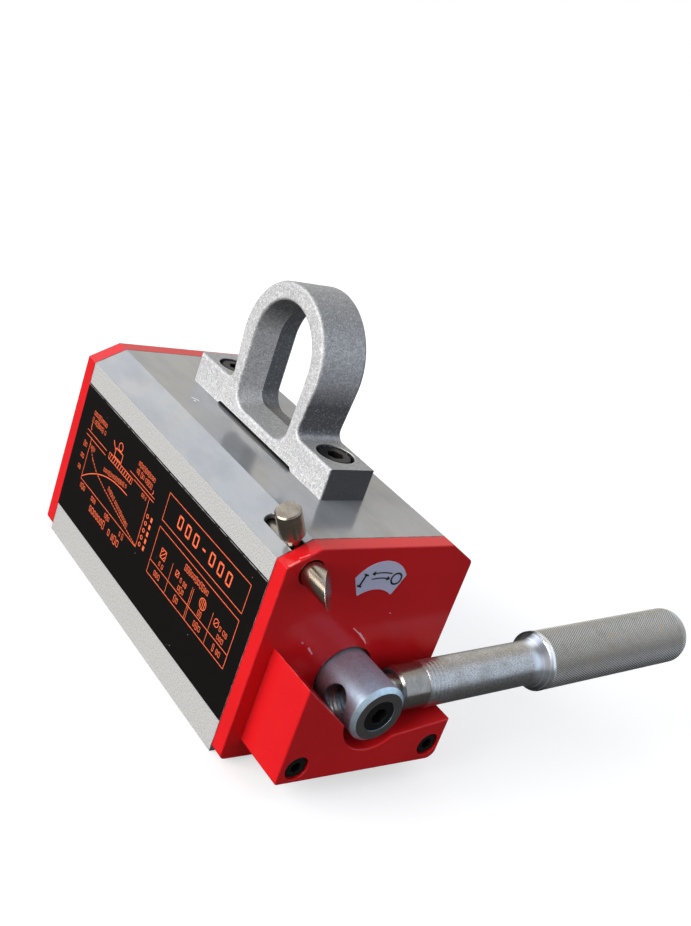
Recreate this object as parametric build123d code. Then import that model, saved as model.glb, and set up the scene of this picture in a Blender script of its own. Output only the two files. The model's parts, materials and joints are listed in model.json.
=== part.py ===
from build123d import *
import math
import os

os.makedirs("parts", exist_ok=True)

# A lever-operated permanent lifting magnet.
# Millimetres. X is the width, Y the length with the handle end at -Y, Z is up.
# The origin is the middle of the magnetic working plane, level with the two pole faces.

# ---- magnet body and end plates ----
BODY_LENGTH = 149.0
FRONT_PLATE_THICKNESS = 6.5
REAR_PLATE_THICKNESS = 7.0
BODY_WIDTH = 83.6
PLATE_HEIGHT = 85.4
POLE_PROUD = 1.2
CHAMFER_WIDTH = 12.1
CHAMFER_HEIGHT = 7.05
PLATE_EDGE_BREAK = 0.3
PLATE_FOOT_RADIUS = 2.5
PLATE_SHOULDER_RADIUS = 2.2
GROOVE_HALF_WIDTH = 15.0
GROOVE_ROOF_HALF_WIDTH = 6.0
GROOVE_DEPTH = 5.0

BODY_FRONT = -BODY_LENGTH / 2
BODY_REAR = BODY_LENGTH / 2
PLATE_FRONT = BODY_FRONT - FRONT_PLATE_THICKNESS
PLATE_REAR = BODY_REAR + REAR_PLATE_THICKNESS
HALF_WIDTH = BODY_WIDTH / 2
TOP = POLE_PROUD + PLATE_HEIGHT
SHOULDER = TOP - CHAMFER_HEIGHT
TOP_HALF_WIDTH = HALF_WIDTH - CHAMFER_WIDTH

# ---- rotor and spindle ----
AXIS_HEIGHT = 32.9
ROTOR_BORE_RADIUS = 24.0
ROTOR_RADIUS = 23.7
ROTOR_END_GAP = 0.9
CAP_THICKNESS = 5.0
CAP_RADIUS = 23.4
ROTOR_SLOT_HALF = 5.0
ROTOR_MAGNET_HALF_HEIGHT = 22.5
SPINDLE_RADIUS = 11.3
SPINDLE_REACH = 23.5
SPINDLE_CHAMFER = 1.6
SPINDLE_WINDOW_RADIUS = 12.4
FRONT_BUSH_RADIUS = 15.0
FRONT_BUSH_LENGTH = 4.7
REAR_JOURNAL_RADIUS = 8.0
REAR_BUSH_RADIUS = 11.0
REAR_BUSH_LENGTH = 4.5
RUNNING_CLEARANCE = 0.05
WASHER_THICKNESS = 0.8
MAGNET_COUNT = 3
MAGNET_GAP = 0.2

ROTOR_FRONT = BODY_FRONT + ROTOR_END_GAP
ROTOR_REAR = -ROTOR_FRONT
SEGMENT_FRONT = ROTOR_FRONT + CAP_THICKNESS
SEGMENT_REAR = -SEGMENT_FRONT
SPINDLE_FACE = PLATE_FRONT - SPINDLE_REACH

# ---- handle, resting a few degrees above level against the stop block ----
HANDLE_ANGLE = 4.25
HANDLE_TRAVEL = 139.2
HANDLE_OFFSET = 11.9
STUD_RADIUS = 5.9
STUD_INNER_END = -5.0
STUD_OUTER_END = 33.5
STUD_FLAT_DEPTH = 2.0
SET_SCREW_RADIUS = 6.3
COLLAR_START = 13.1
ROD_START = 25.3
ROD_RADIUS = 8.63
FLARE_START = 77.0
FLARE_END = 84.1
GRIP_START = 86.1
GRIP_END = 170.5
GRIP_RADIUS = 11.8
GRIP_BORE_RADIUS = 7.0
GRIP_END_RADIUS = 6.0
TAIL_END = 157.5

HANDLE_Y = PLATE_FRONT - HANDLE_OFFSET
ROTOR_TILT = (180.0 - HANDLE_TRAVEL) / 2

# ---- safety latch, in the left pole under its chamfer ----
LATCH_ALONG = 8.3
LATCH_DEPTH = 7.04
LATCH_BOLT_RADIUS = 4.6
LATCH_BORE_RADIUS = 5.0
LATCH_REACH = 16.2
LATCH_SHORT_REACH = 4.0
LATCH_CUT_ANGLE = 34.5
LATCH_BOLT_REAR = -45.0
LATCH_BORE_REAR = -22.0
LATCH_TRAVEL = 15.0
KNOB_Y = -71.65
KNOB_RADIUS = 4.5
KNOB_BOTTOM = 3.5
KNOB_TOP = 14.35
KNOB_CHAMFER = 0.5
NECK_RADIUS = 2.45
SLOT_RADIUS = 2.55
SPRING_RADIUS = 3.6
SPRING_WIRE_RADIUS = 0.4
SPRING_TURNS = 7

CHAMFER_ANGLE = math.degrees(math.atan2(CHAMFER_HEIGHT, CHAMFER_WIDTH))
CHAMFER_DIR = Vector(math.cos(math.radians(CHAMFER_ANGLE)), 0, math.sin(math.radians(CHAMFER_ANGLE)))
CHAMFER_NORMAL = Vector(-CHAMFER_DIR.Z, 0, CHAMFER_DIR.X)
CHAMFER_EDGE = Vector(-HALF_WIDTH, 0, SHOULDER)
LATCH_AXIS = CHAMFER_EDGE + CHAMFER_DIR * LATCH_ALONG - CHAMFER_NORMAL * LATCH_DEPTH

# ---- stop block on the front plate ----
BLOCK_DEPTH = 23.4
BLOCK_LEFT = -35.5
BLOCK_RIGHT = 36.4
BLOCK_BOTTOM = 8.7
BLOCK_LEFT_TOP = 48.2
BLOCK_SLANT = 140.6
BLOCK_RAMP = 8.4
BLOCK_RIGHT_TOP = 26.7
BLOCK_RELIEF_RADIUS = 14.4
BLOCK_FOOT_RADIUS = 4.0
BLOCK_EDGE_RADIUS = 0.6

# ---- lifting eye ----
EYE_WIDTH = 20.4
EYE_BASE_LENGTH = 98.6
EYE_BASE_HEIGHT = 12.5
EYE_RELIEF_HALF = 27.0
EYE_RELIEF = 1.3
EYE_OUTER_RADIUS = 26.6
EYE_INNER_RADIUS = 19.4
EYE_ARC_HEIGHT = 35.0
EYE_FLOOR_HEIGHT = 5.0
EYE_WAIST_OUTER = 24.7
EYE_WAIST_INNER = 19.0
EYE_WAIST_HEIGHT = 17.0
EYE_CORNER_RADIUS = 8.0
EYE_RIDGE = 2.6
EYE_FOOT_FILLET = 3.5
EYE_CAST_RADIUS = 1.2
EYE_SCREW_SPACING = 74.4

# ---- magnets and spacers over the rotor ----
STATOR_HALF_WIDTH = 10.0
STATOR_BOTTOM = 60.0
STATOR_TOP = 74.0
TOP_BAR_HALF_WIDTH = 14.0

# ---- screws: head radius, head height, shank radius, hexagon across flats ----
M8_CAP = (6.5, 8.0, 4.0, 6.0)
M5_CAP = (4.25, 5.0, 2.5, 4.0)
M6_FLAT = (6.0, 3.0, 3.0, 4.0)
M5_FLAT = (5.0, 2.5, 2.5, 3.0)
HOLE_EXTRA = 0.25
EYE_COUNTERBORE_RADIUS = 7.5
EYE_COUNTERBORE_DEPTH = 8.4
EYE_SCREW_LENGTH = 12.0
BLOCK_COUNTERBORE_RADIUS = 4.75
BLOCK_COUNTERBORE_DEPTH = 5.6
BLOCK_SCREW_LENGTH = 35.0
BLOCK_SCREWS = ((-28.4, 14.9), (30.6, 15.7))
REAR_SCREWS = ((-31.0, 14.0), (31.0, 14.0), (-25.0, 70.0), (25.0, 70.0))
REAR_SCREW_LENGTH = 20.0
CAP_SCREW_RADIUS_X = 15.5
CAP_SCREW_RADIUS_Z = 8.5
CAP_SCREW_LENGTH = 16.0
DOWELS = ((-24.0, 66.0), (25.0, 70.0))
DOWEL_RADIUS = 3.0
DOWEL_IN_PLATE = 4.5
DOWEL_IN_POLE = 7.5

# ---- label and sticker ----
LABEL_THICKNESS = 0.3
LABEL_BOTTOM = 13.2
LABEL_TOP = 70.7
LABEL_END_GAP = 0.2
STICKER_THICKNESS = 0.15


def facing_front(y):
    """A plane across the body at y, seen from the front, with X right and Z up."""
    return Plane(origin=(0, y, 0), x_dir=(1, 0, 0), z_dir=(0, -1, 0))


def along_y(sketch, front, rear):
    return extrude(facing_front(front) * sketch, amount=rear - front, dir=(0, 1, 0))


def round_y(x, z, radius, front, rear):
    return along_y(Pos(x, z) * Circle(radius), front, rear)


def on_axis(radius, front, rear):
    return round_y(0, AXIS_HEIGHT, radius, front, rear)


def ring_on_axis(outer, inner, front, rear):
    return on_axis(outer, front, rear) - on_axis(inner, front - 1, rear + 1)


def outline(*points):
    return make_face(Polyline(*points, close=True))


def save(shape, name):
    export_step(shape, f"parts/{name}.step")


def cap_screw(size, length):
    """A socket cap screw whose head top is at z = 0 and whose shank points down."""
    head_radius, head_height, shank_radius, flats = size
    head = Pos(0, 0, -head_height / 2) * Cylinder(head_radius, head_height)
    head = chamfer(head.edges().sort_by(Axis.Z)[-1], head_radius * 0.1)
    shank = Pos(0, 0, -head_height - length / 2) * Cylinder(shank_radius, length)
    socket = extrude(RegularPolygon(flats / 2, 6, major_radius=False), amount=-head_height * 0.55)
    return head + shank - socket


def flat_screw(size, length):
    """A countersunk socket screw whose flat head is at z = 0 and whose shank points down."""
    head_radius, head_height, shank_radius, flats = size
    head = Pos(0, 0, -head_height / 2) * Cone(shank_radius, head_radius, head_height)
    shank = Pos(0, 0, -length / 2) * Cylinder(shank_radius, length)
    socket = extrude(RegularPolygon(flats / 2, 6, major_radius=False), amount=-head_height * 0.8)
    return head + shank - socket


def flat_screw_hole(size, length):
    head_radius, head_height, shank_radius, _ = size
    cone = Pos(0, 0, -head_height / 2) * Cone(shank_radius, head_radius, head_height)
    return cone + Pos(0, 0, -length / 2) * Cylinder(shank_radius, length)


def toward(x, y, z, direction):
    """A place at x, y, z whose local +Z points along direction."""
    return Location(Plane(origin=(x, y, z), z_dir=direction))


# ---------------- magnet body ----------------


def rotor_bore():
    return on_axis(ROTOR_BORE_RADIUS, BODY_FRONT - 1, BODY_REAR + 1)


def latch_slot():
    """The slot in the chamfer that the latch neck slides in, open towards the front plate."""
    rear = KNOB_Y + LATCH_TRAVEL + 0.1
    plane = Plane(origin=tuple(CHAMFER_EDGE + CHAMFER_DIR * LATCH_ALONG), x_dir=(0, 1, 0),
                  z_dir=tuple(CHAMFER_NORMAL))
    straight = Pos((BODY_FRONT - 2 + rear) / 2, 0) * Rectangle(rear - BODY_FRONT + 2, 2 * SLOT_RADIUS)
    end = Pos(rear, 0) * Circle(SLOT_RADIUS)
    return extrude(plane * (straight + end), amount=LATCH_DEPTH, both=True)


def pole(side):
    """One pole: side -1 is the left pole, side +1 the right one."""
    shape = outline(
        (side * HALF_WIDTH, 0),
        (side * HALF_WIDTH, SHOULDER),
        (side * TOP_HALF_WIDTH, TOP),
        (side * TOP_BAR_HALF_WIDTH, TOP),
        (side * TOP_BAR_HALF_WIDTH, STATOR_TOP),
        (side * STATOR_HALF_WIDTH, STATOR_TOP),
        (side * STATOR_HALF_WIDTH, AXIS_HEIGHT),
        (side * GROOVE_ROOF_HALF_WIDTH, AXIS_HEIGHT),
        (side * GROOVE_ROOF_HALF_WIDTH, GROOVE_DEPTH),
        (side * GROOVE_HALF_WIDTH, 0),
    )
    solid = along_y(shape, BODY_FRONT, BODY_REAR) - rotor_bore()
    for x, z in BLOCK_SCREWS:
        if x * side > 0:
            depth = BLOCK_SCREW_LENGTH + BLOCK_COUNTERBORE_DEPTH - BLOCK_DEPTH - FRONT_PLATE_THICKNESS
            solid -= round_y(x, z, M5_CAP[2], BODY_FRONT - 1, BODY_FRONT + depth)
    for x, z in REAR_SCREWS:
        if x * side > 0:
            depth = REAR_SCREW_LENGTH - REAR_PLATE_THICKNESS
            solid -= round_y(x, z, M6_FLAT[2], BODY_REAR - depth, BODY_REAR + 1)
    for x, z in DOWELS:
        if x * side > 0:
            solid -= round_y(x, z, DOWEL_RADIUS, BODY_FRONT - 1, BODY_FRONT + DOWEL_IN_POLE)
    if side < 0:
        solid -= round_y(LATCH_AXIS.X, LATCH_AXIS.Z, LATCH_BORE_RADIUS, BODY_FRONT - 1, LATCH_BORE_REAR)
        solid -= latch_slot()
    return solid


def top_bar():
    bar = Pos(0, 0, (STATOR_TOP + TOP) / 2) * Box(
        2 * TOP_BAR_HALF_WIDTH, BODY_REAR - BODY_FRONT, TOP - STATOR_TOP)
    for y in (-EYE_SCREW_SPACING / 2, EYE_SCREW_SPACING / 2):
        bar -= Pos(0, y, (STATOR_TOP + TOP) / 2) * Cylinder(M8_CAP[2], TOP - STATOR_TOP + 1)
    return bar


def upper_spacer():
    strip = outline(
        (-STATOR_HALF_WIDTH, AXIS_HEIGHT),
        (STATOR_HALF_WIDTH, AXIS_HEIGHT),
        (STATOR_HALF_WIDTH, STATOR_BOTTOM),
        (-STATOR_HALF_WIDTH, STATOR_BOTTOM),
    )
    return along_y(strip, BODY_FRONT, BODY_REAR) - rotor_bore()


def lower_spacer():
    strip = outline(
        (-GROOVE_ROOF_HALF_WIDTH, GROOVE_DEPTH),
        (GROOVE_ROOF_HALF_WIDTH, GROOVE_DEPTH),
        (GROOVE_ROOF_HALF_WIDTH, AXIS_HEIGHT),
        (-GROOVE_ROOF_HALF_WIDTH, AXIS_HEIGHT),
    )
    return along_y(strip, BODY_FRONT, BODY_REAR) - rotor_bore()


def stator_magnet(index):
    length = (BODY_REAR - BODY_FRONT) / MAGNET_COUNT
    middle = BODY_FRONT + length * (index + 0.5)
    return Pos(0, middle, (STATOR_BOTTOM + STATOR_TOP) / 2) * Box(
        2 * STATOR_HALF_WIDTH, length - MAGNET_GAP, STATOR_TOP - STATOR_BOTTOM)


# ---------------- end plates ----------------


def plate_outline():
    rise = POLE_PROUD / GROOVE_DEPTH
    notch = GROOVE_HALF_WIDTH - (GROOVE_HALF_WIDTH - GROOVE_ROOF_HALF_WIDTH) * rise
    shape = outline(
        (-HALF_WIDTH, POLE_PROUD),
        (-HALF_WIDTH, SHOULDER),
        (-TOP_HALF_WIDTH, TOP),
        (TOP_HALF_WIDTH, TOP),
        (HALF_WIDTH, SHOULDER),
        (HALF_WIDTH, POLE_PROUD),
        (notch, POLE_PROUD),
        (GROOVE_ROOF_HALF_WIDTH, GROOVE_DEPTH),
        (-GROOVE_ROOF_HALF_WIDTH, GROOVE_DEPTH),
        (-notch, POLE_PROUD),
    )
    feet = [v for v in shape.vertices() if abs(abs(v.X) - HALF_WIDTH) < 0.01 and v.Y < POLE_PROUD + 0.01]
    shape = fillet(feet, PLATE_FOOT_RADIUS)
    right_shoulder = shape.vertices().sort_by_distance((HALF_WIDTH, SHOULDER, 0))[0]
    return fillet(right_shoulder, PLATE_SHOULDER_RADIUS)


def end_plate(outer, inner):
    plate = along_y(plate_outline(), min(outer, inner), max(outer, inner))
    face = plate.faces().sort_by(Axis.Y)[0 if outer < inner else -1]
    return chamfer(face.edges(), PLATE_EDGE_BREAK)


def front_plate():
    plate = end_plate(PLATE_FRONT, BODY_FRONT)
    plate -= on_axis(SPINDLE_WINDOW_RADIUS, PLATE_FRONT - 1, BODY_FRONT + 1)
    plate -= on_axis(FRONT_BUSH_RADIUS, BODY_FRONT - FRONT_BUSH_LENGTH, BODY_FRONT + 1)
    plate -= round_y(LATCH_AXIS.X, LATCH_AXIS.Z, LATCH_BORE_RADIUS, PLATE_FRONT - 1, BODY_FRONT + 1)
    for x, z in BLOCK_SCREWS:
        plate -= round_y(x, z, M5_CAP[2] + HOLE_EXTRA, PLATE_FRONT - 1, BODY_FRONT + 1)
    for x, z in DOWELS:
        plate -= round_y(x, z, DOWEL_RADIUS, BODY_FRONT - DOWEL_IN_PLATE, BODY_FRONT + 1)
    return plate


def rear_screw_place(x, z):
    return toward(x, PLATE_REAR, z, (0, 1, 0))


def rear_plate():
    plate = end_plate(PLATE_REAR, BODY_REAR)
    plate -= on_axis(REAR_BUSH_RADIUS, BODY_REAR - 1, BODY_REAR + REAR_BUSH_LENGTH)
    for x, z in REAR_SCREWS:
        plate -= rear_screw_place(x, z) * flat_screw_hole(M6_FLAT, REAR_SCREW_LENGTH)
    return plate


def rear_plate_screws():
    screws = [rear_screw_place(x, z) * flat_screw(M6_FLAT, REAR_SCREW_LENGTH) for x, z in REAR_SCREWS]
    return Compound(screws)


def front_dowels():
    pins = [round_y(x, z, DOWEL_RADIUS, BODY_FRONT - DOWEL_IN_PLATE, BODY_FRONT + DOWEL_IN_POLE)
            for x, z in DOWELS]
    return Compound(pins)


def front_bush():
    return ring_on_axis(FRONT_BUSH_RADIUS, SPINDLE_RADIUS + RUNNING_CLEARANCE,
                        BODY_FRONT - FRONT_BUSH_LENGTH, BODY_FRONT)


def rear_bush():
    return ring_on_axis(REAR_BUSH_RADIUS, REAR_JOURNAL_RADIUS + RUNNING_CLEARANCE,
                        BODY_REAR, BODY_REAR + REAR_BUSH_LENGTH)


def thrust_washer(front, inner):
    return ring_on_axis(CAP_RADIUS - 3, inner + 0.3, front, front + WASHER_THICKNESS)


# ---------------- stop block ----------------


def stop_block():
    ramp_rise = math.tan(math.radians(BLOCK_RAMP))
    slant_fall = math.tan(math.radians(180 - BLOCK_SLANT))
    ramp_at_left = BLOCK_RIGHT_TOP - (BLOCK_RIGHT - BLOCK_LEFT) * ramp_rise
    run = (BLOCK_LEFT_TOP - ramp_at_left) / (slant_fall + ramp_rise)
    shape = outline(
        (BLOCK_LEFT, BLOCK_BOTTOM),
        (BLOCK_RIGHT, BLOCK_BOTTOM),
        (BLOCK_RIGHT, BLOCK_RIGHT_TOP),
        (BLOCK_LEFT + run, ramp_at_left + run * ramp_rise),
        (BLOCK_LEFT, BLOCK_LEFT_TOP),
    )
    corners = shape.vertices().group_by(Axis.Y)[0].sort_by(Axis.X)
    shape = fillet(corners[-1], BLOCK_FOOT_RADIUS)
    shape = fillet(shape.vertices().group_by(Axis.Y)[0].sort_by(Axis.X)[0], BLOCK_EDGE_RADIUS * 2)
    shape -= Pos(0, AXIS_HEIGHT) * Circle(BLOCK_RELIEF_RADIUS)
    front = PLATE_FRONT - BLOCK_DEPTH
    block = along_y(shape, front, PLATE_FRONT)
    block = fillet(block.faces().sort_by(Axis.Y)[0].edges(), BLOCK_EDGE_RADIUS)
    for x, z in BLOCK_SCREWS:
        block -= round_y(x, z, BLOCK_COUNTERBORE_RADIUS, front - 1, front + BLOCK_COUNTERBORE_DEPTH)
        block -= round_y(x, z, M5_CAP[2] + HOLE_EXTRA, front - 1, PLATE_FRONT + 1)
    return block


def stop_block_screws():
    seat = PLATE_FRONT - BLOCK_DEPTH + BLOCK_COUNTERBORE_DEPTH
    screws = [toward(x, seat - M5_CAP[1], z, (0, -1, 0)) * cap_screw(M5_CAP, BLOCK_SCREW_LENGTH)
              for x, z in BLOCK_SCREWS]
    return Compound(screws)


# ---------------- lifting eye ----------------


def eye_loop(arc_radius, waist_half, bottom):
    """A round-topped loop whose legs lean in from the arc to the waist, drawn with Y across."""
    centre = EYE_ARC_HEIGHT
    lean = math.atan2(arc_radius - waist_half, centre - EYE_WAIST_HEIGHT)
    touch = (arc_radius * math.cos(lean), centre - arc_radius * math.sin(lean))
    foot_half = touch[0] - math.tan(lean) * (touch[1] - bottom)
    top = (0, centre + arc_radius)
    arc = ThreePointArc(touch, top, (-touch[0], touch[1]))
    rest = Polyline((-touch[0], touch[1]), (-foot_half, bottom), (foot_half, bottom), touch)
    return make_face([arc, rest])


def eye_hole():
    """The hook's opening. Its cast sides lean in from both faces to a ridge in the middle."""

    def section(x, inset):
        loop = eye_loop(EYE_INNER_RADIUS - inset, EYE_WAIST_INNER - inset, EYE_FLOOR_HEIGHT + inset)
        loop = fillet(loop.vertices().group_by(Axis.Y)[0], EYE_CORNER_RADIUS - inset)
        return Plane(origin=(x, 0, TOP), x_dir=(0, 1, 0), z_dir=(1, 0, 0)) * loop

    left = loft([section(0, EYE_RIDGE), section(-EYE_WIDTH / 2, 0)], ruled=True)
    right = loft([section(0, EYE_RIDGE), section(EYE_WIDTH / 2, 0)], ruled=True)
    return left + right


def lifting_eye():
    base = outline(
        (-EYE_BASE_LENGTH / 2, 0),
        (-EYE_RELIEF_HALF - EYE_RELIEF, 0),
        (-EYE_RELIEF_HALF, EYE_RELIEF),
        (EYE_RELIEF_HALF, EYE_RELIEF),
        (EYE_RELIEF_HALF + EYE_RELIEF, 0),
        (EYE_BASE_LENGTH / 2, 0),
        (EYE_BASE_LENGTH / 2, EYE_BASE_HEIGHT),
        (-EYE_BASE_LENGTH / 2, EYE_BASE_HEIGHT),
    )
    loop = eye_loop(EYE_OUTER_RADIUS, EYE_WAIST_OUTER, EYE_RELIEF + 0.5)
    shape = base + loop
    roots = [v for v in shape.vertices()
             if abs(v.Y - EYE_BASE_HEIGHT) < 0.01 and abs(v.X) < EYE_BASE_LENGTH / 2 - 1]
    shape = fillet(roots, EYE_FOOT_FILLET)
    plane = Plane(origin=(-EYE_WIDTH / 2, 0, TOP), x_dir=(0, 1, 0), z_dir=(1, 0, 0))
    eye = extrude(plane * shape, amount=EYE_WIDTH) - eye_hole()
    sides = eye.faces().filter_by(Axis.X)
    rims = [edge for face in sides for edge in face.edges() if edge.center().Z > TOP + EYE_RELIEF + 0.1]
    eye = fillet(rims, EYE_CAST_RADIUS)
    for y in (-EYE_SCREW_SPACING / 2, EYE_SCREW_SPACING / 2):
        top = TOP + EYE_BASE_HEIGHT
        eye -= Pos(0, y, top) * Cylinder(EYE_COUNTERBORE_RADIUS, 2 * EYE_COUNTERBORE_DEPTH)
        eye -= Pos(0, y, top) * Cylinder(M8_CAP[2] + HOLE_EXTRA, 4 * EYE_BASE_HEIGHT)
    return eye


def eye_screws():
    seat = TOP + EYE_BASE_HEIGHT - EYE_COUNTERBORE_DEPTH
    screws = [Pos(0, y, seat + M8_CAP[1]) * cap_screw(M8_CAP, EYE_SCREW_LENGTH)
              for y in (-EYE_SCREW_SPACING / 2, EYE_SCREW_SPACING / 2)]
    return Compound(screws)


# ---------------- label and sticker ----------------


def side_label():
    length = BODY_REAR - BODY_FRONT - 2 * LABEL_END_GAP
    return Pos(-HALF_WIDTH - LABEL_THICKNESS / 2, 0, (LABEL_BOTTOM + LABEL_TOP) / 2) * Box(
        LABEL_THICKNESS, length, LABEL_TOP - LABEL_BOTTOM)


def on_off_sticker():
    """A fan-shaped sticker under the top edge of the front plate, over the spindle."""
    outer_left = (-11.5, 74.6)
    outer_right = (11.5, 75.0)
    inner_right = (7.5, 66.9)
    inner_left = (-7.9, 67.2)
    outer = ThreePointArc(outer_left, (-0.5, 81.2), outer_right)
    right = Line(outer_right, inner_right)
    inner = ThreePointArc(inner_right, (-0.5, 69.7), inner_left)
    left = Line(inner_left, outer_left)
    shape = make_face([outer, right, inner, left])
    shape = fillet(shape.vertices(), 0.6)
    return along_y(shape, PLATE_FRONT - STICKER_THICKNESS, PLATE_FRONT)


# ---------------- rotor ----------------


def tilted(shape):
    """Turn a rotor part from its own magnetic axis to its resting place."""
    return Pos(0, 0, AXIS_HEIGHT) * Rot(0, -ROTOR_TILT, 0) * Pos(0, 0, -AXIS_HEIGHT) * shape


def cap_screw_places():
    return [(x, AXIS_HEIGHT + z) for x in (-CAP_SCREW_RADIUS_X, CAP_SCREW_RADIUS_X)
            for z in (-CAP_SCREW_RADIUS_Z, CAP_SCREW_RADIUS_Z)]


def rotor_segment(side):
    body = on_axis(ROTOR_RADIUS, SEGMENT_FRONT, SEGMENT_REAR)
    half = Pos(side * (ROTOR_SLOT_HALF + ROTOR_RADIUS / 2), 0, AXIS_HEIGHT) * Box(
        ROTOR_RADIUS, 2 * SEGMENT_REAR, 3 * ROTOR_RADIUS)
    body = body & half
    for x, z in cap_screw_places():
        if x * side > 0:
            depth = CAP_SCREW_LENGTH - CAP_THICKNESS
            body -= round_y(x, z, M5_FLAT[2], SEGMENT_FRONT - 1, SEGMENT_FRONT + depth)
            body -= round_y(x, z, M5_FLAT[2], SEGMENT_REAR - depth, SEGMENT_REAR + 1)
    return tilted(body)


def rotor_magnet(index):
    length = (SEGMENT_REAR - SEGMENT_FRONT) / MAGNET_COUNT
    middle = SEGMENT_FRONT + length * (index + 0.5)
    return tilted(Pos(0, middle, AXIS_HEIGHT) * Box(
        2 * ROTOR_SLOT_HALF, length - MAGNET_GAP, 2 * ROTOR_MAGNET_HALF_HEIGHT))


def front_cap_place(x, z):
    return toward(x, ROTOR_FRONT, z, (0, -1, 0))


def rear_cap_place(x, z):
    return toward(x, ROTOR_REAR, z, (0, 1, 0))


def handle_place(along):
    """A place on the handle's axis whose local +Z points away from the spindle."""
    angle = math.radians(HANDLE_ANGLE)
    direction = Vector(math.cos(angle), 0, math.sin(angle))
    point = Vector(0, HANDLE_Y, AXIS_HEIGHT) + direction * along
    return Location(Plane(origin=tuple(point), x_dir=(0, -1, 0), z_dir=tuple(direction)))


def rotor_front_cap():
    """The front end disc of the rotor, screwed to its segments and pressed on the spindle."""
    cap = ring_on_axis(CAP_RADIUS, SPINDLE_RADIUS, ROTOR_FRONT, SEGMENT_FRONT)
    for x, z in cap_screw_places():
        cap -= front_cap_place(x, z) * flat_screw_hole(M5_FLAT, CAP_SCREW_LENGTH)
    return tilted(cap)


def rotor_spindle():
    """The round bar that turns the rotor, cross-bored for the handle in its nose."""
    bar = on_axis(SPINDLE_RADIUS, SPINDLE_FACE, SEGMENT_FRONT)
    bar = chamfer(bar.edges().sort_by(Axis.Y)[0], SPINDLE_CHAMFER)
    mouth_depth = HANDLE_Y - SPINDLE_FACE
    bar -= on_axis(SET_SCREW_RADIUS, SPINDLE_FACE - 1, SPINDLE_FACE + mouth_depth)
    bar -= handle_place(0) * Cylinder(STUD_RADIUS, 4 * SPINDLE_RADIUS)
    return bar


def spindle_set_screw():
    """A set screw that bears on the flat of the handle stud, almost flush with the spindle's face."""
    seat = HANDLE_Y - STUD_RADIUS + STUD_FLAT_DEPTH
    face = SPINDLE_FACE + 0.15
    screw = on_axis(SET_SCREW_RADIUS - 0.05, face, seat)
    screw = chamfer(screw.edges().sort_by(Axis.Y)[0], 0.3)
    socket = RegularPolygon(3.0, 6, major_radius=False)
    screw -= along_y(Pos(0, AXIS_HEIGHT) * socket, face - 1, face + 4.0)
    return screw


def rotor_rear_cap():
    cap = on_axis(CAP_RADIUS, SEGMENT_REAR, ROTOR_REAR)
    for x, z in cap_screw_places():
        cap -= rear_cap_place(x, z) * flat_screw_hole(M5_FLAT, CAP_SCREW_LENGTH)
    journal = on_axis(REAR_JOURNAL_RADIUS, ROTOR_REAR, BODY_REAR + REAR_BUSH_LENGTH - 0.3)
    return tilted(cap) + journal


def cap_screws(place):
    screws = [tilted(place(x, z) * flat_screw(M5_FLAT, CAP_SCREW_LENGTH)) for x, z in cap_screw_places()]
    return Compound(screws)


# ---------------- handle ----------------


def turned(*profile):
    """A solid of revolution round local Z from (radius, height) points, closed along the axis."""
    return revolve(Plane.XZ * outline(*profile), axis=Axis.Z)


def handle_stud():
    length = STUD_OUTER_END - STUD_INNER_END
    stud = Pos(0, 0, STUD_INNER_END + length / 2) * Cylinder(STUD_RADIUS, length)
    stud = chamfer(stud.edges().filter_by(GeomType.CIRCLE), 0.8)
    reach = SPINDLE_RADIUS - 4
    flat = Pos(STUD_RADIUS - STUD_FLAT_DEPTH / 2 + 0.5, 0, 0) * Box(
        STUD_FLAT_DEPTH + 1, 4 * STUD_RADIUS, 2 * reach)
    return handle_place(0) * (stud - flat)


def handle_collar():
    length = ROD_START - COLLAR_START
    collar = Pos(0, 0, COLLAR_START + length / 2) * Cylinder(ROD_RADIUS, length)
    ends = collar.edges().filter_by(GeomType.CIRCLE).sort_by(Axis.Z)
    collar = chamfer(ends[0], 0.9)
    collar = chamfer(collar.edges().filter_by(GeomType.CIRCLE).sort_by(Axis.Z)[-1], 0.35)
    collar -= Cylinder(STUD_RADIUS, 4 * ROD_START)
    return handle_place(0) * collar


def handle_rod():
    """The turned bar: tool-mark rings near the collar, a flared shoulder and a tail for the grip."""
    ring_count = 4
    ring_pitch = 1.9
    ring_depth = 0.06
    bar = Pos(0, 0, (ROD_START + FLARE_END) / 2) * Cylinder(ROD_RADIUS, FLARE_END - ROD_START)
    bar = chamfer(bar.edges().filter_by(GeomType.CIRCLE).sort_by(Axis.Z)[0], 0.35)
    for index in range(ring_count):
        height = ROD_START + 1.6 + index * ring_pitch
        groove = Pos(0, 0, height) * Torus(ROD_RADIUS + 0.4, 0.4 + ring_depth)
        bar -= groove
    run = FLARE_END - FLARE_START
    rise = GRIP_RADIUS - 0.7 - ROD_RADIUS
    radius = (run * run + rise * rise) / (2 * rise)
    middle_run = run * 0.55
    middle_rise = radius - math.sqrt(radius * radius - middle_run * middle_run)
    arc = ThreePointArc(
        (ROD_RADIUS, FLARE_START),
        (ROD_RADIUS + middle_rise, FLARE_START + middle_run),
        (GRIP_RADIUS - 0.7, FLARE_END),
    )
    rim = Polyline(
        (GRIP_RADIUS - 0.7, FLARE_END),
        (GRIP_RADIUS, FLARE_END + 0.7),
        (GRIP_RADIUS, GRIP_START),
        (0, GRIP_START),
        (0, FLARE_START),
        (ROD_RADIUS, FLARE_START),
    )
    flare = revolve(Plane.XZ * make_face([arc, rim]), axis=Axis.Z)
    tail = Pos(0, 0, (GRIP_START + TAIL_END) / 2) * Cylinder(GRIP_BORE_RADIUS, TAIL_END - GRIP_START)
    socket = Pos(0, 0, ROD_START) * Cylinder(STUD_RADIUS, 2 * (STUD_OUTER_END - ROD_START + 1))
    return handle_place(0) * (bar + flare + tail - socket)


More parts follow.
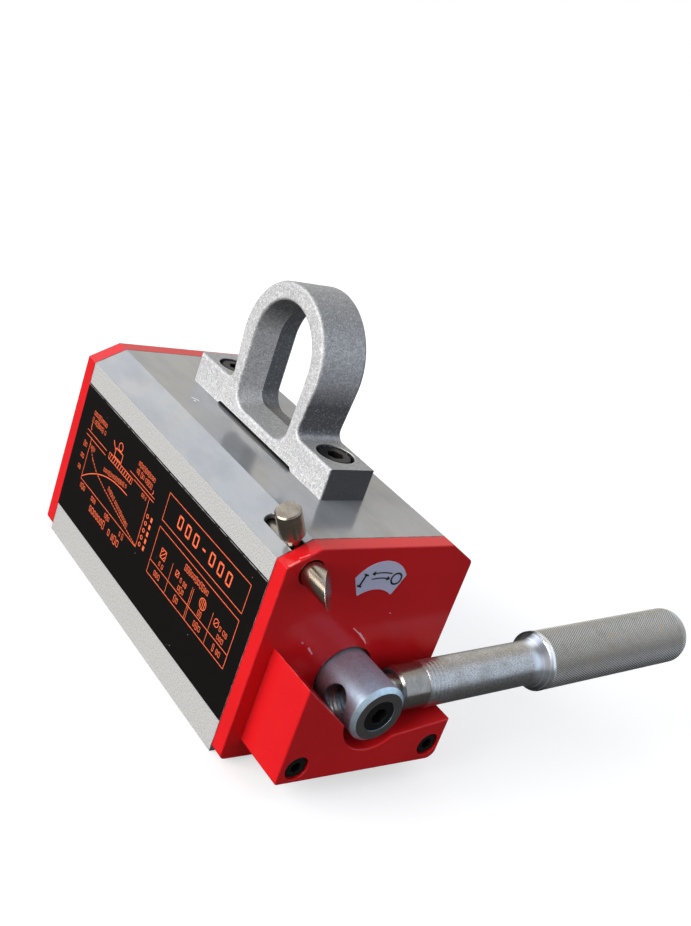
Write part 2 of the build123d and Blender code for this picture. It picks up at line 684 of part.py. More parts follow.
def handle_grip():
    grip = Pos(0, 0, (GRIP_START + GRIP_END) / 2) * Cylinder(GRIP_RADIUS, GRIP_END - GRIP_START)
    grip = fillet(grip.edges().filter_by(GeomType.CIRCLE).sort_by(Axis.Z)[-1], GRIP_END_RADIUS)
    bore = Pos(0, 0, (GRIP_START + TAIL_END + 1) / 2) * Cylinder(
        GRIP_BORE_RADIUS, TAIL_END + 1 - GRIP_START)
    return handle_place(0) * (grip - bore)


# ---------------- safety latch ----------------


def latch_place(y):
    """A place on the latch axis at y whose local +Z is the normal of the body's chamfer."""
    point = (LATCH_AXIS.X, y, LATCH_AXIS.Z)
    return Location(Plane(origin=point, x_dir=(0, 1, 0), z_dir=tuple(CHAMFER_NORMAL)))


def latch_bolt():
    tip = PLATE_FRONT - LATCH_REACH
    bolt = round_y(LATCH_AXIS.X, LATCH_AXIS.Z, LATCH_BOLT_RADIUS, tip, LATCH_BOLT_REAR)
    bolt = chamfer(bolt.edges().filter_by(GeomType.CIRCLE).sort_by(Axis.Y)[-1], 0.5)
    slope = math.atan2(LATCH_REACH - LATCH_SHORT_REACH, 2 * LATCH_BOLT_RADIUS)
    angle = math.radians(LATCH_CUT_ANGLE)
    side = Vector(math.cos(angle), 0, math.sin(angle))
    normal = side * math.sin(slope) - Vector(0, 1, 0) * math.cos(slope)
    middle = PLATE_FRONT - (LATCH_REACH + LATCH_SHORT_REACH) / 2
    cutter_size = 60.0
    cut_plane = Plane(origin=(LATCH_AXIS.X, middle, LATCH_AXIS.Z), z_dir=tuple(normal))
    bolt -= Location(cut_plane) * Pos(0, 0, cutter_size / 2) * Box(cutter_size, cutter_size, cutter_size)
    bolt -= latch_place(KNOB_Y) * Pos(0, 0, LATCH_BOLT_RADIUS) * Cylinder(
        NECK_RADIUS, 2 * LATCH_BOLT_RADIUS)
    return bolt


def latch_knob():
    bottom = LATCH_DEPTH + KNOB_BOTTOM
    top = LATCH_DEPTH + KNOB_TOP
    knob = Pos(0, 0, (bottom + top) / 2) * Cylinder(KNOB_RADIUS, top - bottom)
    knob = chamfer(knob.edges().filter_by(GeomType.CIRCLE), KNOB_CHAMFER)
    neck = Pos(0, 0, (bottom + 1) / 2) * Cylinder(NECK_RADIUS, bottom + 1)
    return latch_place(KNOB_Y) * (knob + neck)


def latch_spring():
    room = LATCH_BORE_REAR - LATCH_BOLT_REAR
    height = room - 2 * SPRING_WIRE_RADIUS - 0.4
    path = Helix(pitch=height / SPRING_TURNS, height=height, radius=SPRING_RADIUS)
    section = Plane(origin=path @ 0, z_dir=path % 0) * Circle(SPRING_WIRE_RADIUS)
    coil = sweep(section, path=path)
    start = LATCH_BOLT_REAR + SPRING_WIRE_RADIUS + 0.2
    return toward(LATCH_AXIS.X, start, LATCH_AXIS.Z, (0, 1, 0)) * coil


# ---------------- write every node ----------------

NODES = {
    "pole_left": pole(-1),
    "pole_right": pole(1),
    "top_bar": top_bar(),
    "upper_spacer": upper_spacer(),
    "lower_spacer": lower_spacer(),
    "front_plate": front_plate(),
    "rear_plate": rear_plate(),
    "rear_plate_screws": rear_plate_screws(),
    "front_plate_dowels": front_dowels(),
    "front_bush": front_bush(),
    "rear_bush": rear_bush(),
    "front_thrust_washer": thrust_washer(BODY_FRONT + 0.05, SPINDLE_RADIUS),
    "rear_thrust_washer": thrust_washer(BODY_REAR - 0.05 - WASHER_THICKNESS, REAR_JOURNAL_RADIUS),
    "stop_block": stop_block(),
    "stop_block_screws": stop_block_screws(),
    "lifting_eye": lifting_eye(),
    "eye_screws": eye_screws(),
    "side_label": side_label(),
    "on_off_sticker": on_off_sticker(),
    "rotor_segment_a": rotor_segment(-1),
    "rotor_segment_b": rotor_segment(1),
    "rotor_front_cap": rotor_front_cap(),
    "rotor_spindle": rotor_spindle(),
    "rotor_rear_cap": rotor_rear_cap(),
    "front_cap_screws": cap_screws(front_cap_place),
    "rear_cap_screws": cap_screws(rear_cap_place),
    "spindle_set_screw": spindle_set_screw(),
    "handle_stud": handle_stud(),
    "handle_collar": handle_collar(),
    "handle_rod": handle_rod(),
    "handle_grip": handle_grip(),
    "latch_bolt": latch_bolt(),
    "latch_knob": latch_knob(),
    "latch_spring": latch_spring(),
}
for number in range(MAGNET_COUNT):
    NODES[f"stator_magnet_{number + 1}"] = stator_magnet(number)
    NODES[f"rotor_magnet_{number + 1}"] = rotor_magnet(number)

for node_name, node_shape in NODES.items():
    save(node_shape, node_name)
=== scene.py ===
import json
import math
import random

import bpy
from mathutils import Matrix, Vector


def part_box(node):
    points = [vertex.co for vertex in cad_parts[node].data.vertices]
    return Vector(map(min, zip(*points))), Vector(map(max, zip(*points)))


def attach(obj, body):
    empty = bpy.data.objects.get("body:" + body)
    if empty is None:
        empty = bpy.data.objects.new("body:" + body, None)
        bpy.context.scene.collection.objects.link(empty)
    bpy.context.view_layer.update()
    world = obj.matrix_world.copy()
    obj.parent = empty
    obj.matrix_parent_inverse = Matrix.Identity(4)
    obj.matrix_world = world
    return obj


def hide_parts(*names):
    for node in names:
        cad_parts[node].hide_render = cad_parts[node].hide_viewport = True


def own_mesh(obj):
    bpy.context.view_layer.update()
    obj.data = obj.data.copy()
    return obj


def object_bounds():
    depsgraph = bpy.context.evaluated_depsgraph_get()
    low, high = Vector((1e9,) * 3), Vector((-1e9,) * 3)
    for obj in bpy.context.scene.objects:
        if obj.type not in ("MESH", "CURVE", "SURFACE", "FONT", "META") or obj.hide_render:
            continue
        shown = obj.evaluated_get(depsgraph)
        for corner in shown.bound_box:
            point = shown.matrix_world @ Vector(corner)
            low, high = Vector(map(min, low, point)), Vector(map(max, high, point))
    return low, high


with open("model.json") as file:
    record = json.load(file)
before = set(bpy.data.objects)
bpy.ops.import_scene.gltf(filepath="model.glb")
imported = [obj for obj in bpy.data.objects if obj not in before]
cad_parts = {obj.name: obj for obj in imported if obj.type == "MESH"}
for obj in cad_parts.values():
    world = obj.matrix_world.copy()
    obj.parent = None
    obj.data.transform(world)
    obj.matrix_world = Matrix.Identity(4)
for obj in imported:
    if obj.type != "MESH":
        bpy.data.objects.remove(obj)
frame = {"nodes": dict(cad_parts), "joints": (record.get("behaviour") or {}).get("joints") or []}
cad_low, cad_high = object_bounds()

MM = 0.001
JOINTS = {joint["name"]: joint for joint in frame["joints"]}
NODES = frame["nodes"]

# The handle's axis: it passes through the turning joint's place, a few degrees above level at rest.
HANDLE_ORIGIN = Vector(JOINTS["handle_turn"]["pos_m"])
HANDLE_ANGLE = math.radians(4.25)
HANDLE_DIR = Vector((math.cos(HANDLE_ANGLE), 0, math.sin(HANDLE_ANGLE)))
HANDLE_UP = Vector((-math.sin(HANDLE_ANGLE), 0, math.cos(HANDLE_ANGLE)))
SPINDLE_HEIGHT = HANDLE_ORIGIN.z

# The left chamfer: a point on its lower edge, its uphill direction and its outward normal.
CHAMFER_EDGE = Vector((-0.0418, 0, 0.07955))
CHAMFER_UP = Vector((0.8640, 0, 0.5034))
CHAMFER_OUT = Vector((-0.5034, 0, 0.8640))
BODY_HALF_LENGTH = 0.0745

# The grip, in millimetres along the handle's axis and out from it.
GRIP_START, GRIP_END, GRIP_RADIUS, GRIP_CORNER = 86.1, 170.5, 11.8, 6.0

PLATE_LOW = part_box("front_plate")[0]
LABEL_LOW, LABEL_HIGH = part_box("side_label")
STICKER_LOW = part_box("on_off_sticker")[0]
SPRING_LOW, SPRING_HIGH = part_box("latch_spring")

# The light. A window and a fill are wide soft suns: direction, strength, width in degrees, colour.
WINDOW = ((-0.95, 0.14, 0.22), 5.85, 62, (1.0, 0.985, 0.965))
FILL = ((-0.50, -0.78, 0.30), 0.28, 70, (1.0, 0.99, 0.98))
# The room: its dimmest colour, then bright patches as direction, outer and inner cosine, colour.
ROOM_COLOUR = (0.14, 0.14, 0.15)
PALE_WALL = ((0.50, 0.78, 0.38), 0.2, 0.97, (0.70, 0.66, 0.59))
SKYLIGHT = ((-0.10, 0.70, 0.70), 0.78, 0.96, (0.50, 0.60, 0.74))
COOL_LIGHT = ((0.62, -0.58, 0.52), 0.62, 0.95, (0.70, 0.82, 0.98))
# The floor: what it throws back, its colour and glow to the eye, its half size and its drop, in metres.
FLOOR_BOUNCE = 0.12
FLOOR_COLOUR = 0.55
FLOOR_GLOW = 0.56
FLOOR_HALF = 30.0
FLOOR_DROP = 0.0002

# The camera: its place, its heading, dip and roll in degrees, and its sensor and lens in mm.
CAMERA_PLACE = Vector((-265.3, -334.9, 253.1)) * MM
CAMERA_HEADING, CAMERA_DIP, CAMERA_ROLL = 42.36, 21.37, 20.05
CAMERA_SENSOR, CAMERA_LENS = 36.0, 45.85

# Print stands this far out of its film, in mm.
LABEL_INK, STICKER_INK = 0.05, 0.03
# The seed of the label's uneven words.
WORD_SEED = 11


# ---------------- shader building ----------------


class Finish:
    """One material: its Principled shader, and short ways to add the nodes that drive it."""

    def __init__(self, name, **sockets):
        self.material = bpy.data.materials.new(name)
        self.material.use_nodes = True
        self.tree = self.material.node_tree
        self.shader = self.tree.nodes["Principled BSDF"]
        for socket, value in sockets.items():
            self.shader.inputs[socket.replace("_", " ")].default_value = value
        self.place = self.node("TexCoord").outputs["Object"]

    def node(self, kind, settings=None, **inputs):
        made = self.tree.nodes.new("ShaderNode" + kind)
        for key, value in (settings or {}).items():
            setattr(made, key, value)
        for key, value in inputs.items():
            self.put(made.inputs[key.replace("_", " ")], value)
        return made

    def put(self, socket, value):
        if isinstance(value, bpy.types.NodeSocket):
            self.tree.links.new(value, socket)
        else:
            socket.default_value = value

    def math(self, operation, a, b=0.0):
        made = self.tree.nodes.new("ShaderNodeMath")
        made.operation = operation
        self.put(made.inputs[0], a)
        self.put(made.inputs[1], b)
        return made.outputs[0]

    def times(self, a, b):
        return self.math("MULTIPLY", a, b)

    def rest(self, share):
        """What a share leaves of 1."""
        return self.math("SUBTRACT", 1.0, share)

    def apart(self, a, b):
        return self.math("ABSOLUTE", self.math("SUBTRACT", a, b))

    def vector(self, operation, a, b=(0, 0, 0)):
        made = self.tree.nodes.new("ShaderNodeVectorMath")
        made.operation = operation
        self.put(made.inputs[0], a)
        self.put(made.inputs[1], b)
        return made.outputs["Value"] if operation in ("DOT_PRODUCT", "LENGTH") else made.outputs[0]

    def noise(self, size, detail=2.0, rough=0.5, stretch=(1, 1, 1)):
        """Noise whose grain is about size millimetres, stretched along the axes by stretch."""
        place = self.place
        if tuple(stretch) != (1, 1, 1):
            place = self.vector("MULTIPLY", place, tuple(1 / s for s in stretch))
        made = self.node("TexNoise", Vector=place, Scale=1 / (size * MM), Detail=detail, Roughness=rough)
        return made.outputs[0]

    def cells(self, size, output="Color"):
        """Voronoi cells about size millimetres across."""
        made = self.node("TexVoronoi", Vector=self.place, Scale=1 / (size * MM))
        return made.outputs[output]

    def specks(self, spacing, outer, inner, patch, low, high):
        """Round specks about spacing millimetres apart, in patches of about patch millimetres."""
        return self.times(self.between(self.cells(spacing, "Distance"), outer, inner),
                          self.between(self.noise(patch, 1), low, high))

    def scaled(self, vector, by):
        made = self.node("VectorMath", {"operation": "SCALE"}, Scale=by)
        made.inputs[0].default_value = vector
        return made.outputs[0]

    def parts(self, vector):
        """The x, y and z of a vector."""
        return self.node("SeparateXYZ", Vector=vector).outputs

    def facing(self):
        """The x, y and z of the surface normal."""
        return self.parts(self.node("NewGeometry").outputs["Normal"])

    def between(self, value, low, high, out_low=0.0, out_high=1.0):
        made = self.node("MapRange", Value=value)
        numbers = {"From Min": low, "From Max": high, "To Min": out_low, "To Max": out_high}
        for key, number in numbers.items():
            made.inputs[key].default_value = number
        return made.outputs["Result"]

    def span(self, value, low, high, *outs):
        """As between, with low and high in millimetres."""
        return self.between(value, low * MM, high * MM, *outs)

    def mix(self, share, a, b):
        made = self.tree.nodes.new("ShaderNodeMix")
        made.data_type = "RGBA"
        self.put(made.inputs[0], share)
        for socket, value in ((made.inputs[6], a), (made.inputs[7], b)):
            self.put(socket, (*value, 1.0) if isinstance(value, tuple) else value)
        return made.outputs[2]

    def over(self, base, share, strength, colour):
        return self.mix(self.times(share, strength), base, colour)

    def colour(self, value):
        self.put(self.shader.inputs["Base Color"], (*value, 1.0) if isinstance(value, tuple) else value)

    def rough(self, value):
        self.put(self.shader.inputs["Roughness"], value)

    def rounded(self, radius):
        """The normal with sharp edges softened to radius, a number in mm or a socket in metres."""
        if not isinstance(radius, bpy.types.NodeSocket):
            radius = radius * MM
        return self.node("Bevel", {"samples": 6}, Radius=radius).outputs[0]

    def edge_share(self, radius, low=0.03, high=0.25):
        """Near 1 along sharp edges and 0 on flat ground."""
        facing = self.vector("DOT_PRODUCT", self.rounded(radius),
                             self.node("NewGeometry").outputs["Normal"])
        return self.between(self.rest(facing), low, high)

    def relief(self, *layers, radius=None):
        """Bump layers as (height, depth in millimetres), over softened edges where radius is given."""
        normal = self.rounded(radius) if radius else None
        for height, depth in layers:
            made = self.node("Bump", Height=height, Distance=depth * MM, Strength=1.0)
            if normal:
                self.put(made.inputs["Normal"], normal)
            normal = made.outputs[0]
        if normal:
            self.put(self.shader.inputs["Normal"], normal)

    def stroke(self, start, end, width):
        """Near 1 within width of the line from start to end, with a ragged border. All in millimetres."""
        a = Vector(start) * MM
        run = (Vector(end) - Vector(start)) * MM
        offset = self.vector("SUBTRACT", self.place, tuple(a))
        along = self.vector("DOT_PRODUCT", offset, tuple(run / run.length_squared))
        along = self.math("MINIMUM", self.math("MAXIMUM", along, 0.0), 1.0)
        gap = self.vector("LENGTH", self.vector("SUBTRACT", offset, self.scaled(run, along)))
        ragged = self.times(self.noise(0.7, 3), width * MM * 1.6)
        return self.between(self.math("DIVIDE", gap, ragged), 1.15, 0.75)

    def any_of(self, shares):
        total = shares[0]
        for share in shares[1:]:
            total = self.math("MAXIMUM", total, share)
        return total


def dress(finish, *nodes):
    for name in nodes:
        slots = NODES[name].material_slots
        if not len(slots):
            NODES[name].data.materials.append(finish.material)
        for place in slots:
            place.material = finish.material


# ---------------- paints ----------------


def grey_paint():
    """Grey finish: smooth with a metal sheen on top and on the chamfers, sandy paint on the sides."""
    paint = Finish("grey_paint", Specular_IOR_Level=0.5)
    upward = paint.facing()[2]
    smooth = paint.between(upward, 0.2, 0.8)
    grain = paint.noise(0.55, 4, 0.65)
    cloud = paint.noise(22, 3, 0.5)
    rubbed = paint.noise(9, 4, 0.6, stretch=(1, 3, 1))
    sandy = paint.mix(paint.between(grain, 0.3, 0.7), (0.24, 0.24, 0.238), (0.56, 0.555, 0.545))
    clean = paint.mix(paint.between(cloud, 0.35, 0.7), (0.375, 0.37, 0.36), (0.335, 0.35, 0.37))
    clean = paint.mix(paint.between(grain, 0.3, 0.7, 0.0, 0.25), clean, (0.44, 0.44, 0.435))
    clean = paint.mix(paint.between(rubbed, 0.42, 0.62, 0.0, 0.45), clean, (0.26, 0.27, 0.285))
    base = paint.mix(smooth, sandy, clean)
    dots = paint.times(paint.specks(4.5, 0.055, 0.035, 9, 0.55, 0.6), 0.7)
    base = paint.mix(dots, base, (0.08, 0.08, 0.075))
    # The flush seams along the top stay plain, so only edges far from the middle are lightened, partly as
    # rubbed paint and partly as a painted highlight.
    sides = paint.parts(paint.place)
    seams_end = 18
    away = paint.span(paint.math("ABSOLUTE", sides[0]), seams_end, seams_end + 2)
    worn = paint.times(paint.edge_share(0.7), paint.between(paint.noise(3, 3), 0.3, 0.6))
    worn = paint.times(worn, away)
    base = paint.over(base, worn, 0.6, (0.70, 0.70, 0.69))
    chips = paint.any_of([
        paint.stroke((-20.7, 31.0, 86.6), (-18.9, 28.6, 86.6), 0.28),
        paint.stroke((-21.1, 28.4, 86.6), (-20.9, 27.8, 86.6), 0.3),
    ])
    base = paint.mix(chips, base, (1.0, 1.0, 0.98))
    # Painted shade: the inside of the latch slot is darkened.
    base = paint.over(base, slot_share(paint), 0.85, (0.035, 0.034, 0.033))
    base = paint.mix(joint_share(paint, 0.0), base, (0.03, 0.03, 0.03))
    # Painted shade: the ground in the gap under the eye is darkened.
    gap_half_width, gap_half_length = 9.6, 27
    width, length = (paint.math("ABSOLUTE", sides[axis]) for axis in (0, 1))
    under = paint.times(paint.span(width, gap_half_width + 1.4, gap_half_width),
                        paint.span(length, gap_half_length + 2, gap_half_length))
    base = paint.over(base, under, 0.9, (0.03, 0.03, 0.032))
    paint.colour(base)
    plain = paint.math("SUBTRACT", 0.5, paint.times(chips, 0.5))
    paint.put(paint.shader.inputs["Metallic"], paint.times(smooth, plain))
    gloss = paint.between(rubbed, 0.35, 0.7, 0.14, 0.22)
    paint.rough(paint.math("ADD", gloss, paint.times(paint.rest(smooth), 0.35)))
    paint.relief((paint.times(grain, paint.between(upward, 0.2, 0.8, 1.0, 0.15)), 0.06), (cloud, 0.03),
                 radius=paint.times(away, 0.45 * MM))
    return paint


def slot_share(finish):
    """1 inside the latch slot of the left chamfer, 0 outside it."""
    slot_middle, slot_half = 8.3, 3.4
    offset = finish.vector("SUBTRACT", finish.place, tuple(CHAMFER_EDGE))
    along = finish.vector("DOT_PRODUCT", offset, tuple(CHAMFER_UP))
    height = finish.vector("DOT_PRODUCT", offset, tuple(CHAMFER_OUT))
    across = finish.apart(along, slot_middle * MM)
    return finish.times(finish.span(across, slot_half, slot_half - 0.5),
                        finish.span(height, -0.15, -0.8))


def joint_share(finish, gap):
    """A thin dark line where the body meets the end plates. gap moves it out from the body, in mm."""
    along = finish.math("ABSOLUTE", finish.parts(finish.place)[1])
    offset = finish.apart(along, BODY_HALF_LENGTH + gap * MM)
    ragged = finish.between(finish.noise(3, 3), 0.3, 0.6, 0.35, 0.9)
    return finish.times(finish.span(offset, 0.26, 0.12), ragged)


def red_paint():
    """Gloss red machine paint with pale corners, partly worn and partly a painted highlight, a few chips
    and scratches round the spindle.
    """
    paint = Finish("red_paint", Specular_IOR_Level=0.26)
    peel = paint.noise(1.6, 2, 0.5)
    speckle = paint.noise(0.5, 3, 0.6)
    cloud = paint.noise(30, 2, 0.5)
    base = paint.mix(paint.between(cloud, 0.3, 0.7), (0.54, 0.007, 0.010), (0.61, 0.010, 0.013))
    base = paint.mix(paint.between(speckle, 0.3, 0.7, 0.0, 0.3), base, (0.68, 0.016, 0.020))
    dust = paint.times(paint.specks(3.2, 0.06, 0.03, 7, 0.56, 0.6), 0.3)
    base = paint.mix(dust, base, (0.65, 0.28, 0.27))
    # Pale edges: partly worn paint, partly a painted highlight.
    worn = paint.times(paint.edge_share(0.5), paint.between(paint.noise(4, 3), 0.45, 0.7))
    base = paint.over(base, worn, 0.55, (0.85, 0.20, 0.20))
    front = PLATE_LOW.y / MM
    scrapes = paint.any_of([
        paint.stroke((-3.3, front, 53.4), (1.2, front, 50.2), 0.26),
        paint.stroke((0.4, front, 50.9), (3.6, front, 48.0), 0.46),
        paint.stroke((3.4, front, 48.2), (5.2, front, 46.2), 0.3),
        paint.stroke((-20.4, front, 46.5), (-19.4, front, 45.4), 0.45),
        paint.stroke((-19.2, front, 45.2), (-18.0, front, 43.9), 0.28),
        paint.stroke((-24.4, front, 49.3), (-23.6, front, 48.8), 0.22),
        paint.stroke((10.9, front, 59.0), (11.4, front, 58.7), 0.2),
    ])
    scuffs = paint.any_of([
        paint.stroke((-40.6, front + 0.7, 80.3), (-37.4, front + 0.6, 82.2), 0.5),
        paint.stroke((-36.8, front + 1.6, 82.6), (-33.9, front + 0.9, 84.2), 0.3),
        paint.stroke((-34.5, front - 23.3, 47.4), (-20.0, front - 23.3, 35.6), 0.16),
    ])
    base = paint.over(base, scuffs, 0.4, (0.80, 0.36, 0.35))
    base = paint.over(base, scrapes, 0.9, (0.90, 0.46, 0.52))
    base = paint.mix(joint_share(paint, 0.2), base, (0.05, 0.004, 0.005))
    paint.colour(base)
    paint.rough(paint.between(peel, 0.3, 0.7, 0.13, 0.2))
    paint.relief((peel, 0.008), (speckle, 0.006), (scrapes, -0.03), radius=0.45)
    return paint


# ---------------- metals ----------------


def cast_eye():
    """A sand casting under aluminium paint: pebbled grain, fine flakes lightened partly as painted
    glints, rubbed rims and painted shade.
    """
    metal = Finish("cast_eye", Metallic=0.35, Specular_IOR_Level=0.5)
    pebble = metal.noise(1.5, 3, 0.55)
    grain = metal.noise(0.5, 4, 0.65)
    flake = metal.node("SeparateColor", Color=metal.cells(0.42)).outputs[0]
    blotch = metal.noise(16, 3)
    base = metal.mix(metal.between(grain, 0.3, 0.7), (0.27, 0.275, 0.29), (0.86, 0.86, 0.865))
    base = metal.mix(metal.between(pebble, 0.3, 0.6, 0.45, 0.0), base, (0.27, 0.275, 0.29))
    base = metal.mix(metal.between(flake, 0.0, 0.3, 0.3, 0.0), base, (0.17, 0.175, 0.185))
    base = metal.mix(metal.between(blotch, 0.5, 0.75, 0.0, 0.35), base, (0.36, 0.375, 0.40))
    worn = metal.times(metal.edge_share(1.3, 0.01, 0.15), metal.between(metal.noise(2, 3), 0.2, 0.5))
    base = metal.over(base, worn, 0.75, (0.92, 0.925, 0.93))
    # The foot's upward ground and the front end of the foot are darker, and the screw wells get painted
    # shade.
    facing = metal.facing()
    place = metal.parts(metal.place)
    foot_top, foot_front, screw_place, well_radius = 100, -49.1, 37.2, 7.6
    low = metal.span(place[2], foot_top + 1, foot_top)
    darker_foot_top = metal.times(metal.between(facing[2], 0.75, 0.95), low)
    base = metal.over(base, darker_foot_top, 0.6, (0.20, 0.20, 0.195))
    darker_foot_front = metal.times(metal.span(place[1], foot_front + 0.7, foot_front),
                        metal.between(facing[1], -0.7, -0.95))
    base = metal.over(base, darker_foot_front, 0.8, (0.055, 0.058, 0.064))
    # Painted shade: the screw wells are near black.
    well = metal.math("SUBTRACT", metal.math("ABSOLUTE", place[1]), screw_place * MM)
    well = metal.vector("LENGTH", metal.node("CombineXYZ", X=place[0], Y=well).outputs[0])
    well = metal.times(metal.span(well, well_radius + 0.1, well_radius - 0.05),
                       metal.span(place[2], foot_top - 1.05, foot_top - 1.3))
    base = metal.mix(well, base, (0.012, 0.012, 0.012))
    # Painted shade: inside the opening the right half of the ridge and the roof are darkened.
    # The crown and the foot of the front leg are darkened the same way.
    right_half = metal.times(metal.between(facing[0], 0.08, 0.18),
                             metal.between(facing[0], 0.55, 0.4))
    roof = metal.between(facing[2], 0.0, -0.7)
    leg = metal.times(metal.between(facing[1], -0.5, -0.9), metal.span(place[1], -20, -22))
    leg = metal.times(leg, metal.span(place[2], 122, 112, 0.12, 0.85))
    inner = metal.times(metal.between(facing[1], -0.3, -0.9),
                        metal.span(place[1], 10, 12, 0.0, 0.06))
    crown = metal.times(metal.between(facing[2], 0.3, 0.8, 0.0, 0.5),
                        metal.span(place[2], 126, 132))
    dimmed = metal.any_of([metal.times(right_half, 0.8), metal.times(roof, 0.88), crown, leg, inner])
    base = metal.mix(dimmed, base, (0.06, 0.061, 0.062))
    # Painted glints: some flakes are lightened, partly their own pale metal.
    bright = metal.times(metal.between(flake, 0.84, 0.96, 0.0, 0.22), metal.rest(darker_foot_front))
    base = metal.mix(bright, base, (0.95, 0.955, 0.96))
    metal.colour(base)
    metal.rough(metal.between(flake, 0.0, 1.0, 0.55, 0.38))
    metal.relief((blotch, 0.15), (pebble, 0.3), (grain, 0.26), radius=0.55)
    return metal


def turned_steel(name, low, high, axis_grain, rough, grime=0.25, ring=0.01, shade_below=0.0):
    """Turned steel. axis_grain is the noise stretch that leaves the tool marks running round the part.

    The last argument is how much painted shade darkens the handle's underside."""
    metal = Finish(name, Metallic=1.0)
    marks = metal.noise(0.35, 3, 0.6, stretch=axis_grain)
    stain = metal.noise(6, 4, 0.6)
    base = metal.mix(metal.between(marks, 0.3, 0.7), low, high)
    dark = tuple(0.35 * part for part in low)
    base = metal.mix(metal.between(stain, 0.5, 0.8, 0.0, grime), base, dark)
    if shade_below:
        # Painted shade on the handle's underside.
        below = metal.span(handle_lift(metal), 0.5, -4, 0.0, shade_below)
        base = metal.mix(below, base, (0.06, 0.056, 0.052))
    worn = metal.edge_share(0.35)
    base = metal.over(base, worn, 0.6, (0.85, 0.85, 0.85))
    metal.colour(base)
    metal.rough(metal.between(stain, 0.3, 0.8, rough * 0.8, rough * 1.3))
    metal.relief((marks, ring), radius=0.25)
    return metal


def spindle_steel():
    """The hub: fine-turned steel, dark on its end face, with a painted highlight on the chamfer."""
    metal = Finish("spindle_steel", Metallic=0.8, Specular_IOR_Level=0.5)
    facing = metal.facing()[1]
    marks = metal.noise(0.35, 4, 0.65)
    stain = metal.noise(4, 5, 0.65)
    base = metal.mix(metal.between(marks, 0.3, 0.7), (0.32, 0.43, 0.55), (0.58, 0.77, 0.95))
    base = metal.mix(metal.between(stain, 0.45, 0.7, 0.0, 0.5), base, (0.23, 0.27, 0.32))
    base = metal.mix(metal.between(facing, -0.9, -0.98), base, (0.17, 0.16, 0.15))
    # Painted highlight: a pale blue band on the chamfer.
    chamfer = metal.times(metal.between(facing, -0.55, -0.65), metal.between(facing, -0.85, -0.75))
    chamfer = metal.times(chamfer, metal.between(stain, 0.3, 0.65, 0.75, 0.25))
    base = metal.mix(chamfer, base, (0.72, 0.92, 1.0))
    metal.colour(base)
    metal.rough(metal.between(stain, 0.3, 0.8, 0.36, 0.5))
    metal.relief((marks, 0.02), radius=0.25)
    return metal


def rod_steel():
    """The handle's bar: grainy worn steel, with painted highlights and painted shade on the shoulder
    where it flares out.
    """
    metal = Finish("handle_steel", Metallic=1.0)
    grain = metal.noise(0.42, 4, 0.7)
    cloud = metal.noise(7, 4, 0.6)
    rings_start, rings_end, ring_pitch = 25.5, 36, 1.9
    shoulder_start, arc_places = 77, (81.9, 84.1, 85.5)
    along = handle_along(metal)
    shoulder = metal.span(along, shoulder_start, shoulder_start + 3)
    base = metal.mix(metal.between(grain, 0.35, 0.65), (0.24, 0.235, 0.23), (0.68, 0.675, 0.665))
    base = metal.mix(metal.between(cloud, 0.45, 0.75, 0.0, 0.5), base, (0.30, 0.27, 0.24))
    # Tool marks run round the bar next to the collar.
    ringed = metal.times(metal.span(along, rings_start, rings_start + 0.7),
                         metal.span(along, rings_end, rings_end - 4))
    ripple = metal.math("SINE", metal.times(along, math.tau / (ring_pitch * MM)))
    ripple = metal.times(ripple, metal.between(metal.noise(1.5, 3), 0.3, 0.6, 0.5, 1.0))
    rings = metal.times(metal.between(ripple, 0.45, 0.9), ringed)
    base = metal.over(base, rings, 0.45, (0.82, 0.86, 0.92))
    # Painted light on the shoulder: a painted highlight in front, painted shade below and a black painted
    # shadow at the rear.
    lift = handle_lift(metal)
    shoulder_light_and_shade = metal.mix(metal.span(lift, -8, 0), (0.10, 0.10, 0.105), (0.78, 0.82, 0.88))
    rear = metal.span(metal.parts(handle_offset(metal))[1], 1, 4.5)
    shoulder_light_and_shade = metal.mix(rear, shoulder_light_and_shade, (0.02, 0.02, 0.022))
    base = metal.over(base, shoulder, 0.97, shoulder_light_and_shade)
    # Painted highlights: thin bright arcs on the flare, fainter below and left out of the rear shadow.
    arc_highlights = []
    for at in arc_places:
        gap = metal.apart(along, at * MM)
        arc_highlights.append(metal.span(gap, 0.32, 0.16))
    arc_highlights = metal.times(metal.any_of(arc_highlights), metal.span(lift, -9, -3, 0.25, 0.9))
    arc_highlights = metal.times(arc_highlights, metal.rest(rear))
    base = metal.mix(arc_highlights, base, (1.0, 1.0, 1.0))
    base = metal.over(base, metal.edge_share(0.35), 0.6, (0.88, 0.88, 0.88))
    metal.colour(base)
    rough = metal.between(cloud, 0.3, 0.7, 0.30, 0.40)
    metal.rough(metal.math("SUBTRACT", rough, metal.times(shoulder, 0.06)))
    smooth = metal.rest(metal.times(shoulder, 0.85))
    metal.relief((metal.times(grain, smooth), 0.05), (metal.times(ripple, ringed), 0.07), radius=0.25)
    return metal


def black_oxide():
    metal = Finish("black_oxide", Metallic=0.05, Specular_IOR_Level=0.16)
    grain = metal.noise(0.5, 4, 0.6)
    worn = metal.times(metal.edge_share(0.35), metal.between(metal.noise(1.2, 3), 0.4, 0.7))
    base = metal.mix(metal.between(grain, 0.3, 0.7), (0.004, 0.004, 0.004), (0.012, 0.012, 0.0115))
    metal.colour(metal.over(base, worn, 0.5, (0.13, 0.13, 0.12)))
    metal.rough(metal.between(grain, 0.3, 0.7, 0.24, 0.42))
    metal.relief((grain, 0.01), radius=0.2)
    return metal


